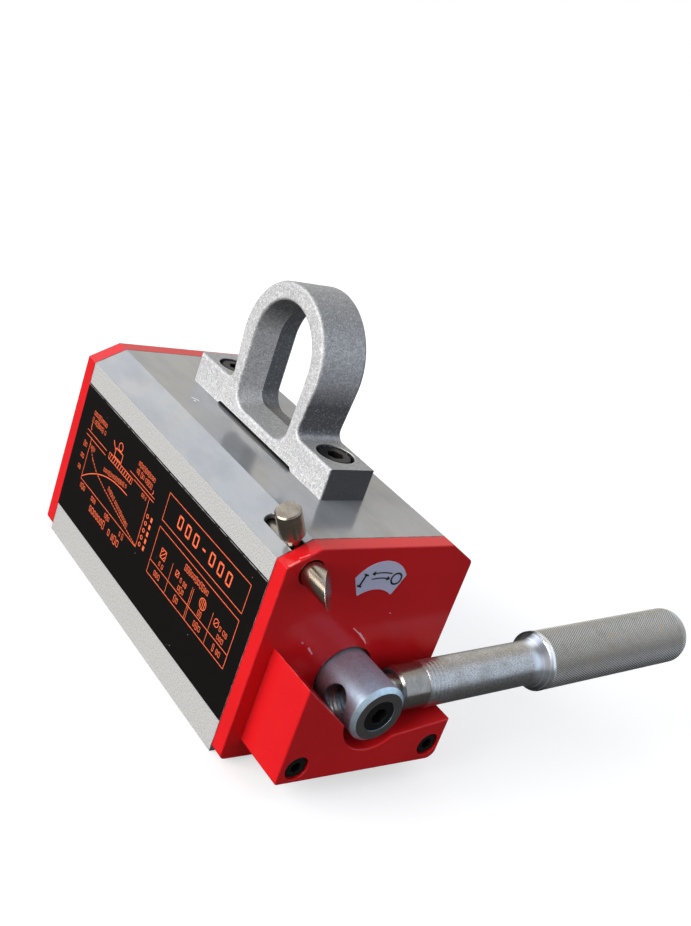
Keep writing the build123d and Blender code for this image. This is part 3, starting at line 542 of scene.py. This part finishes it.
def worn_nickel():
    """Warm nickel plate, rubbed and slightly brown, as on the latch."""
    metal = Finish("latch_steel", Metallic=1.0)
    stain = metal.noise(3.4, 4, 0.6, stretch=(1, 2.5, 1))
    marks = metal.noise(0.3, 3, 0.6, stretch=(1, 8, 1))
    base = metal.mix(metal.between(stain, 0.35, 0.7), (0.40, 0.345, 0.275), (0.25, 0.205, 0.16))
    base = metal.mix(metal.between(marks, 0.55, 0.85, 0.0, 0.3), base, (0.52, 0.46, 0.37))
    worn = metal.times(metal.edge_share(0.5), 0.8)
    metal.colour(metal.mix(worn, base, (0.88, 0.85, 0.76)))
    metal.rough(metal.between(stain, 0.3, 0.7, 0.2, 0.27))
    metal.relief((marks, 0.004), radius=0.25)
    return metal


def plain_metal(name, low, high, rough, grain_size=0.8):
    """The inner parts: machined or plated, clean, with a light grain."""
    metal = Finish(name, Metallic=1.0)
    grain = metal.noise(grain_size, 3, 0.6, stretch=(1, 3, 1))
    metal.colour(metal.mix(metal.between(grain, 0.3, 0.7), low, high))
    metal.rough(metal.between(grain, 0.3, 0.7, rough * 0.8, rough * 1.2))
    metal.relief((grain, 0.008), radius=0.2)
    return metal


def knurled_steel():
    """The grip: bright worn points, grooves with painted shade below, a top painted lighter, a few brown
    spots.
    """
    metal = Finish("knurled_steel", Metallic=1.0)
    grime = metal.noise(5, 4, 0.6)
    spot = metal.noise(6, 2, 0.5)
    along = handle_along(metal)
    sunk = grip_depth(metal, along)
    upper = metal.span(handle_lift(metal), -3, 6)
    # The top is painted lighter: less of the cut shows there.
    top_lit_depth = metal.math("SUBTRACT", sunk, metal.times(upper, 0.12 * MM))
    raised = metal.span(top_lit_depth, 0.22, 0.01)
    # Painted shade: the grooves are near black below and grey above.
    groove = metal.mix(upper, (0.012, 0.0115, 0.011), (0.24, 0.235, 0.22))
    base = metal.mix(raised, groove, (0.93, 0.905, 0.85))
    end_face = metal.span(along, GRIP_END - 1.6, GRIP_END - 0.6, 0.0, 0.8)
    base = metal.mix(end_face, base, (0.36, 0.35, 0.335))
    base = metal.mix(metal.between(grime, 0.5, 0.8, 0.0, 0.3), base, (0.26, 0.24, 0.21))
    tan = metal.times(metal.between(spot, 0.62, 0.7, 0.0, 0.3), upper)
    base = metal.mix(tan, base, (0.72, 0.56, 0.36))
    metal.colour(base)
    metal.rough(metal.between(grime, 0.3, 0.7, 0.3, 0.42))
    return metal


def handle_offset(finish):
    """From the handle's origin to the surface point."""
    return finish.vector("SUBTRACT", finish.place, tuple(HANDLE_ORIGIN))


def handle_lift(finish):
    """How far a surface point is above the handle's axis, in metres."""
    return finish.vector("DOT_PRODUCT", handle_offset(finish), tuple(HANDLE_UP))


def handle_along(finish):
    """How far a surface point lies along the handle's axis, in metres."""
    return finish.vector("DOT_PRODUCT", handle_offset(finish), tuple(HANDLE_DIR))


def grip_depth(finish, along):
    """How deep a point of the grip lies under the plain sleeve with its rounded end, in metres."""
    spoke = finish.vector("SUBTRACT", handle_offset(finish), finish.scaled(HANDLE_DIR, along))
    past = finish.math("MAXIMUM", finish.math("SUBTRACT", along, (GRIP_END - GRIP_CORNER) * MM), 0.0)
    rise = finish.math("SUBTRACT", (GRIP_CORNER * MM) ** 2, finish.times(past, past))
    rise = finish.math("SQRT", finish.math("MAXIMUM", rise, 0.0))
    sleeve = finish.math("ADD", rise, (GRIP_RADIUS - GRIP_CORNER) * MM)
    depth = finish.math("SUBTRACT", sleeve, finish.vector("LENGTH", spoke))
    return finish.times(depth, finish.span(along, GRIP_END - 1.0, GRIP_END - 1.8))


# ---------------- films and inks ----------------


def label_film():
    film = Finish("label_black", Specular_IOR_Level=0.06)
    grain = film.noise(0.6, 3, 0.6)
    base = film.mix(film.between(grain, 0.3, 0.7), (0.003, 0.0025, 0.0025), (0.006, 0.005, 0.0045))
    dust = film.times(film.specks(6.0, 0.04, 0.02, 11, 0.5, 0.56), 0.7)
    base = film.mix(dust, base, (0.45, 0.45, 0.43))
    # The film's upper border is rubbed to a thin pale line.
    height = film.parts(film.place)[2]
    below = film.apart(height, LABEL_HIGH.z - 0.45 * MM)
    border = film.times(film.span(below, 0.22, 0.1), film.between(film.noise(3, 3), 0.35, 0.6))
    film.colour(film.over(base, border, 0.7, (0.42, 0.42, 0.41)))
    film.rough(film.between(grain, 0.3, 0.7, 0.5, 0.62))
    film.relief((grain, 0.006))
    return film


def ink(name, low, high, rough):
    paint = Finish(name, Specular_IOR_Level=0.3)
    grain = paint.noise(0.4, 3, 0.6)
    paint.colour(paint.mix(paint.between(grain, 0.35, 0.65), low, high))
    paint.rough(paint.between(grain, 0.3, 0.7, rough * 0.9, rough * 1.1))
    return paint


# ---------------- mesh building ----------------


def mesh_piece(name, points, faces, finish, body, smooth=False):
    mesh = bpy.data.meshes.new(name)
    mesh.from_pydata([tuple(p) for p in points], [], faces)
    mesh.update()
    mesh.polygons.foreach_set("use_smooth", [smooth] * len(mesh.polygons))
    mesh.materials.append(finish.material)
    piece = bpy.data.objects.new(name, mesh)
    bpy.context.scene.collection.objects.link(piece)
    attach(piece, body)
    return piece


def arc_points(centre, radius, first, last, count=14):
    """Points along an arc, its first and last angle in degrees."""
    angles = [math.radians(first + (last - first) * i / count) for i in range(count + 1)]
    return [(centre[0] + radius * math.cos(a), centre[1] + radius * math.sin(a)) for a in angles]


def tube_faces(rings, count):
    """The quads that join rings of count points each."""
    faces = []
    for ring in range(rings - 1):
        a, b = ring * count, (ring + 1) * count
        for i in range(count):
            j = (i + 1) % count
            faces.append([a + i, a + j, b + j, b + i])
    return faces


class Print:
    """Flat ink shapes on a plane: strokes, outlines and discs as thin closed slabs, in millimetres."""

    def __init__(self, place, thickness, pick=None):
        self.place = place
        self.thickness = thickness
        self.pick = pick
        self.points = []
        self.faces = []

    def slab(self, corners):
        """A slab over a convex outline, drawn as (across, up) points, counterclockwise."""
        first = len(self.points)
        count = len(corners)
        for height in (0.0, self.thickness):
            self.points += [self.place(a, b, height) for a, b in corners]
        self.faces.append([first + i for i in reversed(range(count))])
        self.faces.append([first + count + i for i in range(count)])
        for i in range(count):
            j = (i + 1) % count
            self.faces.append([first + i, first + j, first + count + j, first + count + i])

    def line(self, start, end, width):
        run = Vector(end) - Vector(start)
        side = Vector((-run.y, run.x)).normalized() * width / 2
        a, b = Vector(start), Vector(end)
        self.slab([a - side, b - side, b + side, a + side])

    def path(self, points, width):
        for start, end in zip(points, points[1:]):
            self.line(start, end, width)

    def box(self, left, bottom, right, top, width):
        self.path([(left, bottom), (right, bottom), (right, top), (left, top), (left, bottom)], width)

    def block(self, left, bottom, right, top):
        self.slab([(left, bottom), (right, bottom), (right, top), (left, top)])

    def ring(self, centre, radius, width, count=20):
        self.path(arc_points(centre, radius, 0, 360, count), width)

    def dashes(self, start, end, width, dash, gap):
        a, b = Vector(start), Vector(end)
        run = (b - a).normalized()
        at = 0.0
        while at < (b - a).length:
            self.line(a + run * at, a + run * min(at + dash, (b - a).length), width)
            at += dash + gap

    def words(self, start, end, height):
        """A line of unreadable print: a row of hollow boxes of uneven size, with word gaps."""
        a, b = Vector(start), Vector(end)
        length = (b - a).length
        run = (b - a) / length
        at = 0.0
        while at < length:
            wide = height * self.pick.uniform(0.28, 0.5)
            tall = height * self.pick.choice((0.72, 0.72, 1.0))
            middle = a + run * (at + wide / 2)
            rise = Vector((-run.y, run.x)) * tall / 2
            half = run * wide / 2
            corners = [middle - half - rise, middle + half - rise, middle + half + rise,
                       middle - half + rise]
            self.path(corners + corners[:1], height * 0.09)
            at += wide + height * self.pick.choice((0.28, 0.28, 0.28, 0.28, 0.65))

    def make(self, name, finish, body):
        return mesh_piece(name, self.points, self.faces, finish, body)


# ---------------- label print ----------------


def label_place(across, up, height):
    """The label seen from the left side: across grows towards the front plate."""
    return Vector((LABEL_LOW.x - height * MM, -across * MM, up * MM))


def capacity_table(layer):
    """The front half of the label: a title box over a table of four columns."""
    left, right, low = 5.6, 67.2, 29.8
    line = 0.26
    layer.box(left, 52.7, right, 64.2, line)
    layer.box(left, low, right, 49.8, line)
    layer.line((left, 35.4), (right, 35.4), line)
    for across in (20.8, 36.7, 37.7, 52.6):
        layer.line((across, low), (across, 43.1), line * 0.8)
    # The title is a row of plain hollow boxes with a dash in the middle.
    for index in range(7):
        middle = 17.6 + index * 6.2
        if index == 3:
            layer.block(middle - 1.1, 58.0, middle + 1.1, 58.8)
        else:
            layer.box(middle - 1.4, 56.2, middle + 1.4, 60.6, 0.72)
    layer.words((28.6, 46.6), (45.4, 46.6), 2.5)
    # Over the columns: a hatched square, a plain one, a hatched disc and a crossed ring.
    hatched_square(layer, (13.1, 41.9), 1.9)
    layer.box(24.1, 40.2, 26.3, 42.4, 0.32)
    layer.line((24.4, 40.4), (26.1, 42.2), 0.3)
    disc_across, disc_up, disc_radius = 45.2, 41.6, 2.2
    layer.ring((disc_across, disc_up), disc_radius, 0.36)
    for step in (-1.1, 0.0, 1.1):
        half = math.sqrt(disc_radius ** 2 - step ** 2)
        layer.line((disc_across + step, disc_up - half), (disc_across + step, disc_up + half), 0.34)
    layer.ring((55.9, 41.0), 1.5, 0.32)
    layer.line((54.4, 39.6), (57.4, 42.4), 0.3)
    # Each row of words: how high it is, its size, and the middle and width of each.
    rows = ((40.6, 2.4, ((30.2, 4.4), (61.0, 5.2))),
            (37.4, 2.3, ((13.2, 2.6), (30.0, 4.2), (45.2, 2.6), (60.6, 4.2))),
            (32.5, 2.7, ((12.8, 4.4), (29.0, 3.0), (45.6, 4.4), (60.2, 4.4))))
    for up, size, places in rows:
        for middle, wide in places:
            layer.words((middle - wide / 2, up), (middle + wide / 2, up), size)


def hatched_square(layer, centre, half):
    across, up = centre
    layer.box(across - half, up - half, across + half, up + half, 0.34)
    layer.line((across - half, up - half), (across + half, up + half), 0.34)
    layer.line((across - half, up), (across, up + half), 0.34)
    layer.line((across, up - half), (across + half, up), 0.34)


def capacity_graph(layer):
    """The rear half: a graph of two curves between axes, under a drawing of a magnet on a bar."""
    left, right, low = -60.7, -6.6, 33.0
    line = 0.26
    layer.line((left, low), (left, 52.2), line)
    layer.line((left, low), (right, low), line)
    layer.line((right, low), (right, 54.7), line)
    for up in (36.5, 41.8, 47.2):
        layer.words((-65.8, up), (-62.9, up), 2.4)
    for across in (-57.4, -45.9, -32.4, -18.0):
        layer.words((across - 2.3, 30.6), (across + 2.3, 30.6), 2.4)
    # The other words: under the axis, along the two curves, at the axes' ends and in the top corners.
    for start, end, size in (((-47.4, 26.4), (-32.8, 26.4), 3.4), ((-28.8, 26.2), (-19.2, 26.2), 3.4),
                             ((-44.8, 46.0), (-24.6, 49.3), 1.9), ((-37.4, 41.4), (-17.4, 36.6), 1.9),
                             ((-58.9, 48.6), (-55.6, 48.6), 1.8), ((-12.6, 52.9), (-9.2, 52.9), 1.8),
                             ((-63.7, 62.1), (-50.8, 62.1), 2.2), ((-63.7, 59.0), (-51.0, 59.0), 2.2),
                             ((-20.5, 62.3), (-6.6, 62.3), 2.2), ((-20.5, 59.1), (-8.0, 59.1), 2.2)):
        layer.words(start, end, size)
    for row in range(5):
        up = 35.6 + row * 3.1
        layer.ring((-4.4, up), 0.75, 0.4, 12)
        layer.block(-1.7, up - 0.8, -0.4, up + 1.1)
    rise = [(left + 38.0 * t, 34.0 + 12.6 * (1 - (1 - t) ** 2.4)) for t in (i / 24 for i in range(25))]
    layer.path(rise, 0.38)
    fall = [(left, 49.6), (-55.2, 44.6), (-49.6, 41.6), (-40.0, 39.2), (-24.0, 36.2),
            (right - 0.3, low + 0.2)]
    for start, end in zip(fall, fall[1:]):
        layer.dashes(start, end, 0.34, 1.1, 0.5)
    # Two plates with a gap, and the hatched bar between them.
    for start, end, up in ((-65.7, -46.5, 51.5), (-65.7, -46.5, 53.6), (-21.0, -3.1, 54.75),
                           (-25.4, -3.1, 56.2)):
        layer.line((start, up), (end, up), line)
    bar_low, bar_high = 51.85, 54.4
    layer.box(-43.8, bar_low, -22.0, bar_high, line)
    for index in range(11):
        across = -42.8 + index * 1.9
        layer.line((across, bar_low), (across + 0.9, bar_high), 0.4)
    magnet_drawing(layer, -36.6, 54.9)
    layer.path([(-63.2, 57.4), (-63.2, 55.6), (-62.4, 54.4)], 0.36)
    layer.path([(-5.6, 58.6), (-5.2, 57.6), (-5.9, 56.9)], 0.36)


def magnet_drawing(layer, across, up):
    """A plain drawing of a lifting magnet: a box with a ring on top and a lever."""
    layer.box(across - 3.2, up, across + 3.2, up + 3.6, 0.42)
    layer.ring((across, up + 5.6), 1.7, 0.42, 16)
    layer.line((across - 3.2, up + 2.2), (across - 6.4, up + 5.4), 0.42)


def label_print():
    layer = Print(label_place, LABEL_INK, random.Random(WORD_SEED))
    capacity_table(layer)
    capacity_graph(layer)
    layer.make("label_print", ink("label_ink", (0.80, 0.125, 0.045), (0.90, 0.16, 0.06), 0.5),
               "magnet_body")


# ---------------- sticker print ----------------


def sticker_place(across, up, height):
    return Vector((across * MM, STICKER_LOW.y - height * MM, up * MM))


def sticker_print():
    """Generic marks for the two handle places, I and O, with an arrow each way between them."""
    layer = Print(sticker_place, STICKER_INK)
    width = 0.5
    centre = (-0.3, SPINDLE_HEIGHT / MM + 22.0)
    for radius, tip_angle, turn in ((21.6, 101.5, 1), (19.4, 76.0, -1)):
        arc = arc_points(centre, radius, 77.0, 101.0)
        layer.path(arc, width)
        tip = arc[-1] if turn > 0 else arc[0]
        for lean in (28, -28):
            angle = math.radians(tip_angle + 90 * turn + 180 + lean)
            layer.line(tip, (tip[0] + 1.5 * math.cos(angle), tip[1] + 1.5 * math.sin(angle)), width)
    layer.line((-8.5, 71.3), (-7.1, 75.9), 0.85)
    layer.line((-9.6, 71.7), (-7.5, 71.0), 0.7)
    layer.line((-8.1, 76.2), (-6.0, 75.5), 0.7)
    layer.ring((7.3, 73.7), 2.25, 0.75)
    layer.make("sticker_print", ink("sticker_ink", (0.006, 0.006, 0.008), (0.012, 0.012, 0.014), 0.4),
               "magnet_body")


# ---------------- knurled grip ----------------


def handle_point(along, radius, angle):
    """A point along the handle's axis and out from it, in mm. Its angle runs from the front downward."""
    front = Vector((0, -1, 0))
    down = HANDLE_DIR.cross(front)
    spoke = front * math.cos(angle) + down * math.sin(angle)
    return HANDLE_ORIGIN + HANDLE_DIR * along * MM + spoke * radius * MM


def knurled_grip():
    """The grip sleeve with cut diamond knurling, a plain rim at its mouth and a rounded end."""
    start, end, radius, corner = GRIP_START, GRIP_END, GRIP_RADIUS, GRIP_CORNER
    bore, bore_end = 7.0, 158.5
    diamonds_round = 80
    steps = 4
    pitch_along = 1.45
    depth = 0.4
    groove_share = 0.42
    run_in, run_out, plain_end = 0.8, 3.5, 1.2
    count_round = diamonds_round * steps
    step_along = pitch_along / steps
    straight = end - corner - start

    def groove(phase):
        """0 on a ridge and 1 at the bottom of a cut."""
        part = phase % 1.0
        return max(0.0, 1.0 - abs(part - 0.5) / groove_share)

    rows = []
    at = 0.0
    while at < straight:
        rows.append((start + at, radius))
        at += step_along
    corner_steps = 16
    for i in range(corner_steps + 1):
        turn = math.pi / 2 * i / corner_steps
        rows.append((end - corner + corner * math.sin(turn), radius - corner + corner * math.cos(turn)))
    points = []
    for along, row_radius in rows:
        fade = min(1.0, (along - start) / run_in, max(0.0, (end - plain_end - along) / run_out))
        for i in range(count_round):
            share = i / count_round
            across_phase = share * diamonds_round
            along_phase = (along - start) / pitch_along
            cut = max(groove(across_phase + along_phase), groove(across_phase - along_phase))
            r = row_radius - depth * fade * cut
            points.append(handle_point(along, r, math.tau * share))
    faces = tube_faces(len(rows), count_round)
    last = (len(rows) - 1) * count_round
    faces.append([last + i for i in range(count_round)])
    # The mouth: a flat ring in to the bore, then the bore and its floor.
    for along in (start, bore_end):
        points += [handle_point(along, bore, math.tau * i / count_round) for i in range(count_round)]
    mouth = len(rows) * count_round
    floor = mouth + count_round
    for i in range(count_round):
        j = (i + 1) % count_round
        faces.append([j, i, mouth + i, mouth + j])
        faces.append([mouth + j, mouth + i, floor + i, floor + j])
    faces.append([floor + i for i in reversed(range(count_round))])
    grip = mesh_piece("knurled_grip", points, faces, knurled_steel(), "rotor")
    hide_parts("handle_grip")


# ---------------- thread in the open cross bore ----------------


def bore_thread():
    """The thread cut in the free half of the handle's cross bore."""
    bore, crest, pitch = 5.9, 5.35, 1.75
    first, last = -9.6, -5.4
    per_turn, fade_steps = 48, 16
    count = int((last - first) / pitch * per_turn)
    foot, sink, least_foot = pitch * 0.42, 0.05, 0.05
    points = []
    for i in range(count + 1):
        along = first + (last - first) * i / count
        angle = math.tau * i / per_turn
        fade = min(1.0, i / fade_steps, (count - i) / fade_steps)
        tip = bore - (bore - crest) * fade
        spread = foot * max(fade, least_foot)
        for shift, radius in ((-spread, bore + sink), (0, tip), (spread, bore + sink)):
            points.append(handle_point(along + shift, radius, angle))
    faces = []
    for i in range(count):
        a, b = 3 * i, 3 * (i + 1)
        for k in range(3):
            n = (k + 1) % 3
            faces.append([a + k, b + k, b + n, a + n])
    faces.append([0, 1, 2])
    end = 3 * count
    faces.append([end + 2, end + 1, end])
    mesh_piece("cross_bore_thread", points, faces,
               turned_steel("thread_steel", (0.20, 0.195, 0.20), (0.44, 0.43, 0.44), (1, 1, 1), 0.3),
               "rotor")


# ---------------- latch spring ----------------


def latch_spring():
    """The coil behind the latch bolt, drawn out at rest."""
    wire, coil_radius = 0.4, 3.6
    turns, dead_turns = 9.0, 1.0
    clearance, looseness = 0.05, 1.03
    middle_x = (SPRING_LOW.x + SPRING_HIGH.x) / 2 / MM
    middle_z = (SPRING_LOW.z + SPRING_HIGH.z) / 2 / MM
    front = SPRING_LOW.y / MM + wire + clearance
    rear = SPRING_HIGH.y / MM - wire - clearance
    sides = 8
    per_turn = 28
    count = int(turns * per_turn)
    closed = 2 * wire * looseness
    span = rear - front - 2 * dead_turns * closed
    centres = []
    for i in range(count + 1):
        turn = i / per_turn
        lead = min(turn, dead_turns) + dead_turns - min(max(turns - turn, 0), dead_turns)
        active = min(max((turn - dead_turns) / (turns - 2 * dead_turns), 0.0), 1.0)
        angle = math.tau * turn
        along = front + lead * closed + active * span
        centres.append(Vector((middle_x + coil_radius * math.cos(angle), along,
                               middle_z + coil_radius * math.sin(angle))))
    points = []
    for i, centre in enumerate(centres):
        ahead = (centres[min(i + 1, count)] - centres[max(i - 1, 0)]).normalized()
        outward = Vector((centre.x - middle_x, 0, centre.z - middle_z)).normalized()
        side = ahead.cross(outward)
        for k in range(sides):
            angle = math.tau * k / sides
            points.append((centre + (outward * math.cos(angle) + side * math.sin(angle)) * wire) * MM)
    faces = tube_faces(count + 1, sides)
    faces.append(list(reversed(range(sides))))
    faces.append([count * sides + k for k in range(sides)])
    spring = mesh_piece("coil_spring", points, faces,
                        plain_metal("spring_steel", (0.38, 0.38, 0.39), (0.55, 0.55, 0.56), 0.3),
                        "magnet_body", smooth=True)
    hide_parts("latch_spring")
    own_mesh(spring)


# ---------------- finishes on the CAD nodes ----------------


def dress_nodes():
    dress(grey_paint(), "pole_left", "pole_right", "top_bar")
    dress(red_paint(), "front_plate", "rear_plate", "stop_block")
    dress(cast_eye(), "lifting_eye")
    dress(black_oxide(), "eye_screws", "stop_block_screws", "rear_plate_screws", "spindle_set_screw",
          "front_cap_screws", "rear_cap_screws")
    dress(spindle_steel(), "rotor_spindle")
    dress(turned_steel("collar_steel", (0.28, 0.255, 0.23), (0.38, 0.35, 0.315), (1, 6, 6), 0.2, 0.4,
                       0.003, 0.75), "handle_collar")
    dress(rod_steel(), "handle_rod")
    dress(turned_steel("stud_steel", (0.40, 0.39, 0.38), (0.55, 0.54, 0.53), (1, 6, 6), 0.3),
          "handle_stud")
    dress(worn_nickel(), "latch_bolt", "latch_knob")
    dress(label_film(), "side_label")
    dress(ink("sticker_white", (0.50, 0.50, 0.66), (0.58, 0.58, 0.73), 0.3), "on_off_sticker")
    dress(plain_metal("brass", (0.55, 0.38, 0.16), (0.72, 0.52, 0.24), 0.3), "upper_spacer",
          "lower_spacer", "front_bush", "rear_bush", "front_thrust_washer", "rear_thrust_washer")
    dress(plain_metal("magnet_nickel", (0.56, 0.55, 0.52), (0.66, 0.65, 0.62), 0.2), "stator_magnet_1",
          "stator_magnet_2", "stator_magnet_3", "rotor_magnet_1", "rotor_magnet_2", "rotor_magnet_3")
    dress(plain_metal("rotor_steel", (0.38, 0.38, 0.39), (0.52, 0.52, 0.53), 0.34), "rotor_segment_a",
          "rotor_segment_b", "rotor_front_cap", "rotor_rear_cap", "front_plate_dowels")


# ---------------- floor, light and camera ----------------


def studio():
    """A pale seamless floor in a pale room, lit from the left as by one large low window."""
    mesh = bpy.data.meshes.new("floor")
    half = FLOOR_HALF
    corners = [(-half, -half, 0), (half, -half, 0), (half, half, 0), (-half, half, 0)]
    mesh.from_pydata(corners, [], [(0, 1, 2, 3)])
    floor = bpy.data.objects.new("floor", mesh)
    bpy.context.scene.collection.objects.link(floor)
    floor.location.z = cad_low.z - FLOOR_DROP
    mesh.materials.append(pale_floor())

    soft_sun("window", *WINDOW)
    soft_sun("fill", *FILL)
    world = bpy.data.worlds.new("room")
    bpy.context.scene.world = world
    world.use_nodes = True
    room(world.node_tree)


def soft_sun(name, place, strength, width, colour):
    lamp = bpy.data.lights.new(name, "SUN")
    lamp.energy = strength
    lamp.angle = math.radians(width)
    lamp.color = colour
    holder = bpy.data.objects.new(name, lamp)
    bpy.context.scene.collection.objects.link(holder)
    holder.rotation_euler = (-Vector(place)).to_track_quat("-Z", "Y").to_euler()


def pale_floor():
    """White to the eye, and duller in what it throws back, so that undersides stay dark."""
    material = bpy.data.materials.new("floor")
    material.use_nodes = True
    tree = material.node_tree
    tree.nodes.clear()
    seen = tree.nodes.new("ShaderNodeLightPath").outputs["Is Camera Ray"]
    dimmed = tree.nodes.new("ShaderNodeBsdfDiffuse")
    dimmed.inputs["Color"].default_value = (*(FLOOR_BOUNCE,) * 3, 1)
    pale = tree.nodes.new("ShaderNodeBsdfDiffuse")
    pale.inputs["Color"].default_value = (*(FLOOR_COLOUR,) * 3, 1)
    glow = tree.nodes.new("ShaderNodeEmission")
    glow.inputs["Color"].default_value = (*(FLOOR_GLOW,) * 3, 1)
    bright = tree.nodes.new("ShaderNodeAddShader")
    tree.links.new(pale.outputs[0], bright.inputs[0])
    tree.links.new(glow.outputs[0], bright.inputs[1])
    both = tree.nodes.new("ShaderNodeMixShader")
    tree.links.new(seen, both.inputs[0])
    tree.links.new(dimmed.outputs[0], both.inputs[1])
    tree.links.new(bright.outputs[0], both.inputs[2])
    tree.links.new(both.outputs[0], tree.nodes.new("ShaderNodeOutputMaterial").inputs[0])
    return material


def room(tree):
    """Plain white to the eye. Its light is pale behind the object and dim on the handle side."""
    background = tree.nodes["Background"]
    direction = tree.nodes.new("ShaderNodeTexCoord").outputs["Generated"]
    light = ROOM_COLOUR
    for toward, outer, inner, colour in (PALE_WALL, SKYLIGHT, COOL_LIGHT):
        facing = tree.nodes.new("ShaderNodeVectorMath")
        facing.operation = "DOT_PRODUCT"
        tree.links.new(direction, facing.inputs[0])
        facing.inputs[1].default_value = Vector(toward).normalized()
        share = tree.nodes.new("ShaderNodeMapRange")
        share.interpolation_type = "SMOOTHSTEP"
        tree.links.new(facing.outputs["Value"], share.inputs["Value"])
        share.inputs["From Min"].default_value = outer
        share.inputs["From Max"].default_value = inner
        patch = tree.nodes.new("ShaderNodeVectorMath")
        patch.operation = "MULTIPLY_ADD"
        tree.links.new(share.outputs["Result"], patch.inputs[0])
        patch.inputs[1].default_value = colour
        if isinstance(light, tuple):
            patch.inputs[2].default_value = light
        else:
            tree.links.new(light, patch.inputs[2])
        light = patch.outputs[0]
    mix = tree.nodes.new("ShaderNodeMix")
    mix.data_type = "RGBA"
    tree.links.new(tree.nodes.new("ShaderNodeLightPath").outputs["Is Camera Ray"], mix.inputs[0])
    tree.links.new(light, mix.inputs[6])
    mix.inputs[7].default_value = (1.0, 1.0, 1.0, 1)
    tree.links.new(mix.outputs[2], background.inputs["Color"])


def camera():
    """A hand-held view from above the left front corner, rolled to one side."""
    heading, dip, roll = (math.radians(turn) for turn in (CAMERA_HEADING, CAMERA_DIP, CAMERA_ROLL))
    forward = Vector((math.sin(heading) * math.cos(dip), math.cos(heading) * math.cos(dip),
                      -math.sin(dip)))
    level = Vector((math.cos(heading), -math.sin(heading), 0))
    upright = level.cross(forward)
    right = level * math.cos(roll) + upright * math.sin(roll)
    up = upright * math.cos(roll) - level * math.sin(roll)
    lens = bpy.data.cameras.new("camera")
    lens.sensor_width = CAMERA_SENSOR
    lens.lens = CAMERA_LENS
    lens.clip_start = 0.02
    lens.clip_end = 50.0
    holder = bpy.data.objects.new("camera", lens)
    bpy.context.scene.collection.objects.link(holder)
    axes = Matrix((right, up, -forward)).transposed()
    holder.matrix_world = Matrix.Translation(CAMERA_PLACE) @ axes.to_4x4()
    bpy.context.scene.camera = holder


dress_nodes()
label_print()
sticker_print()
knurled_grip()
bore_thread()
latch_spring()
studio()
camera()
bpy.context.scene.view_settings.view_transform = "Standard"
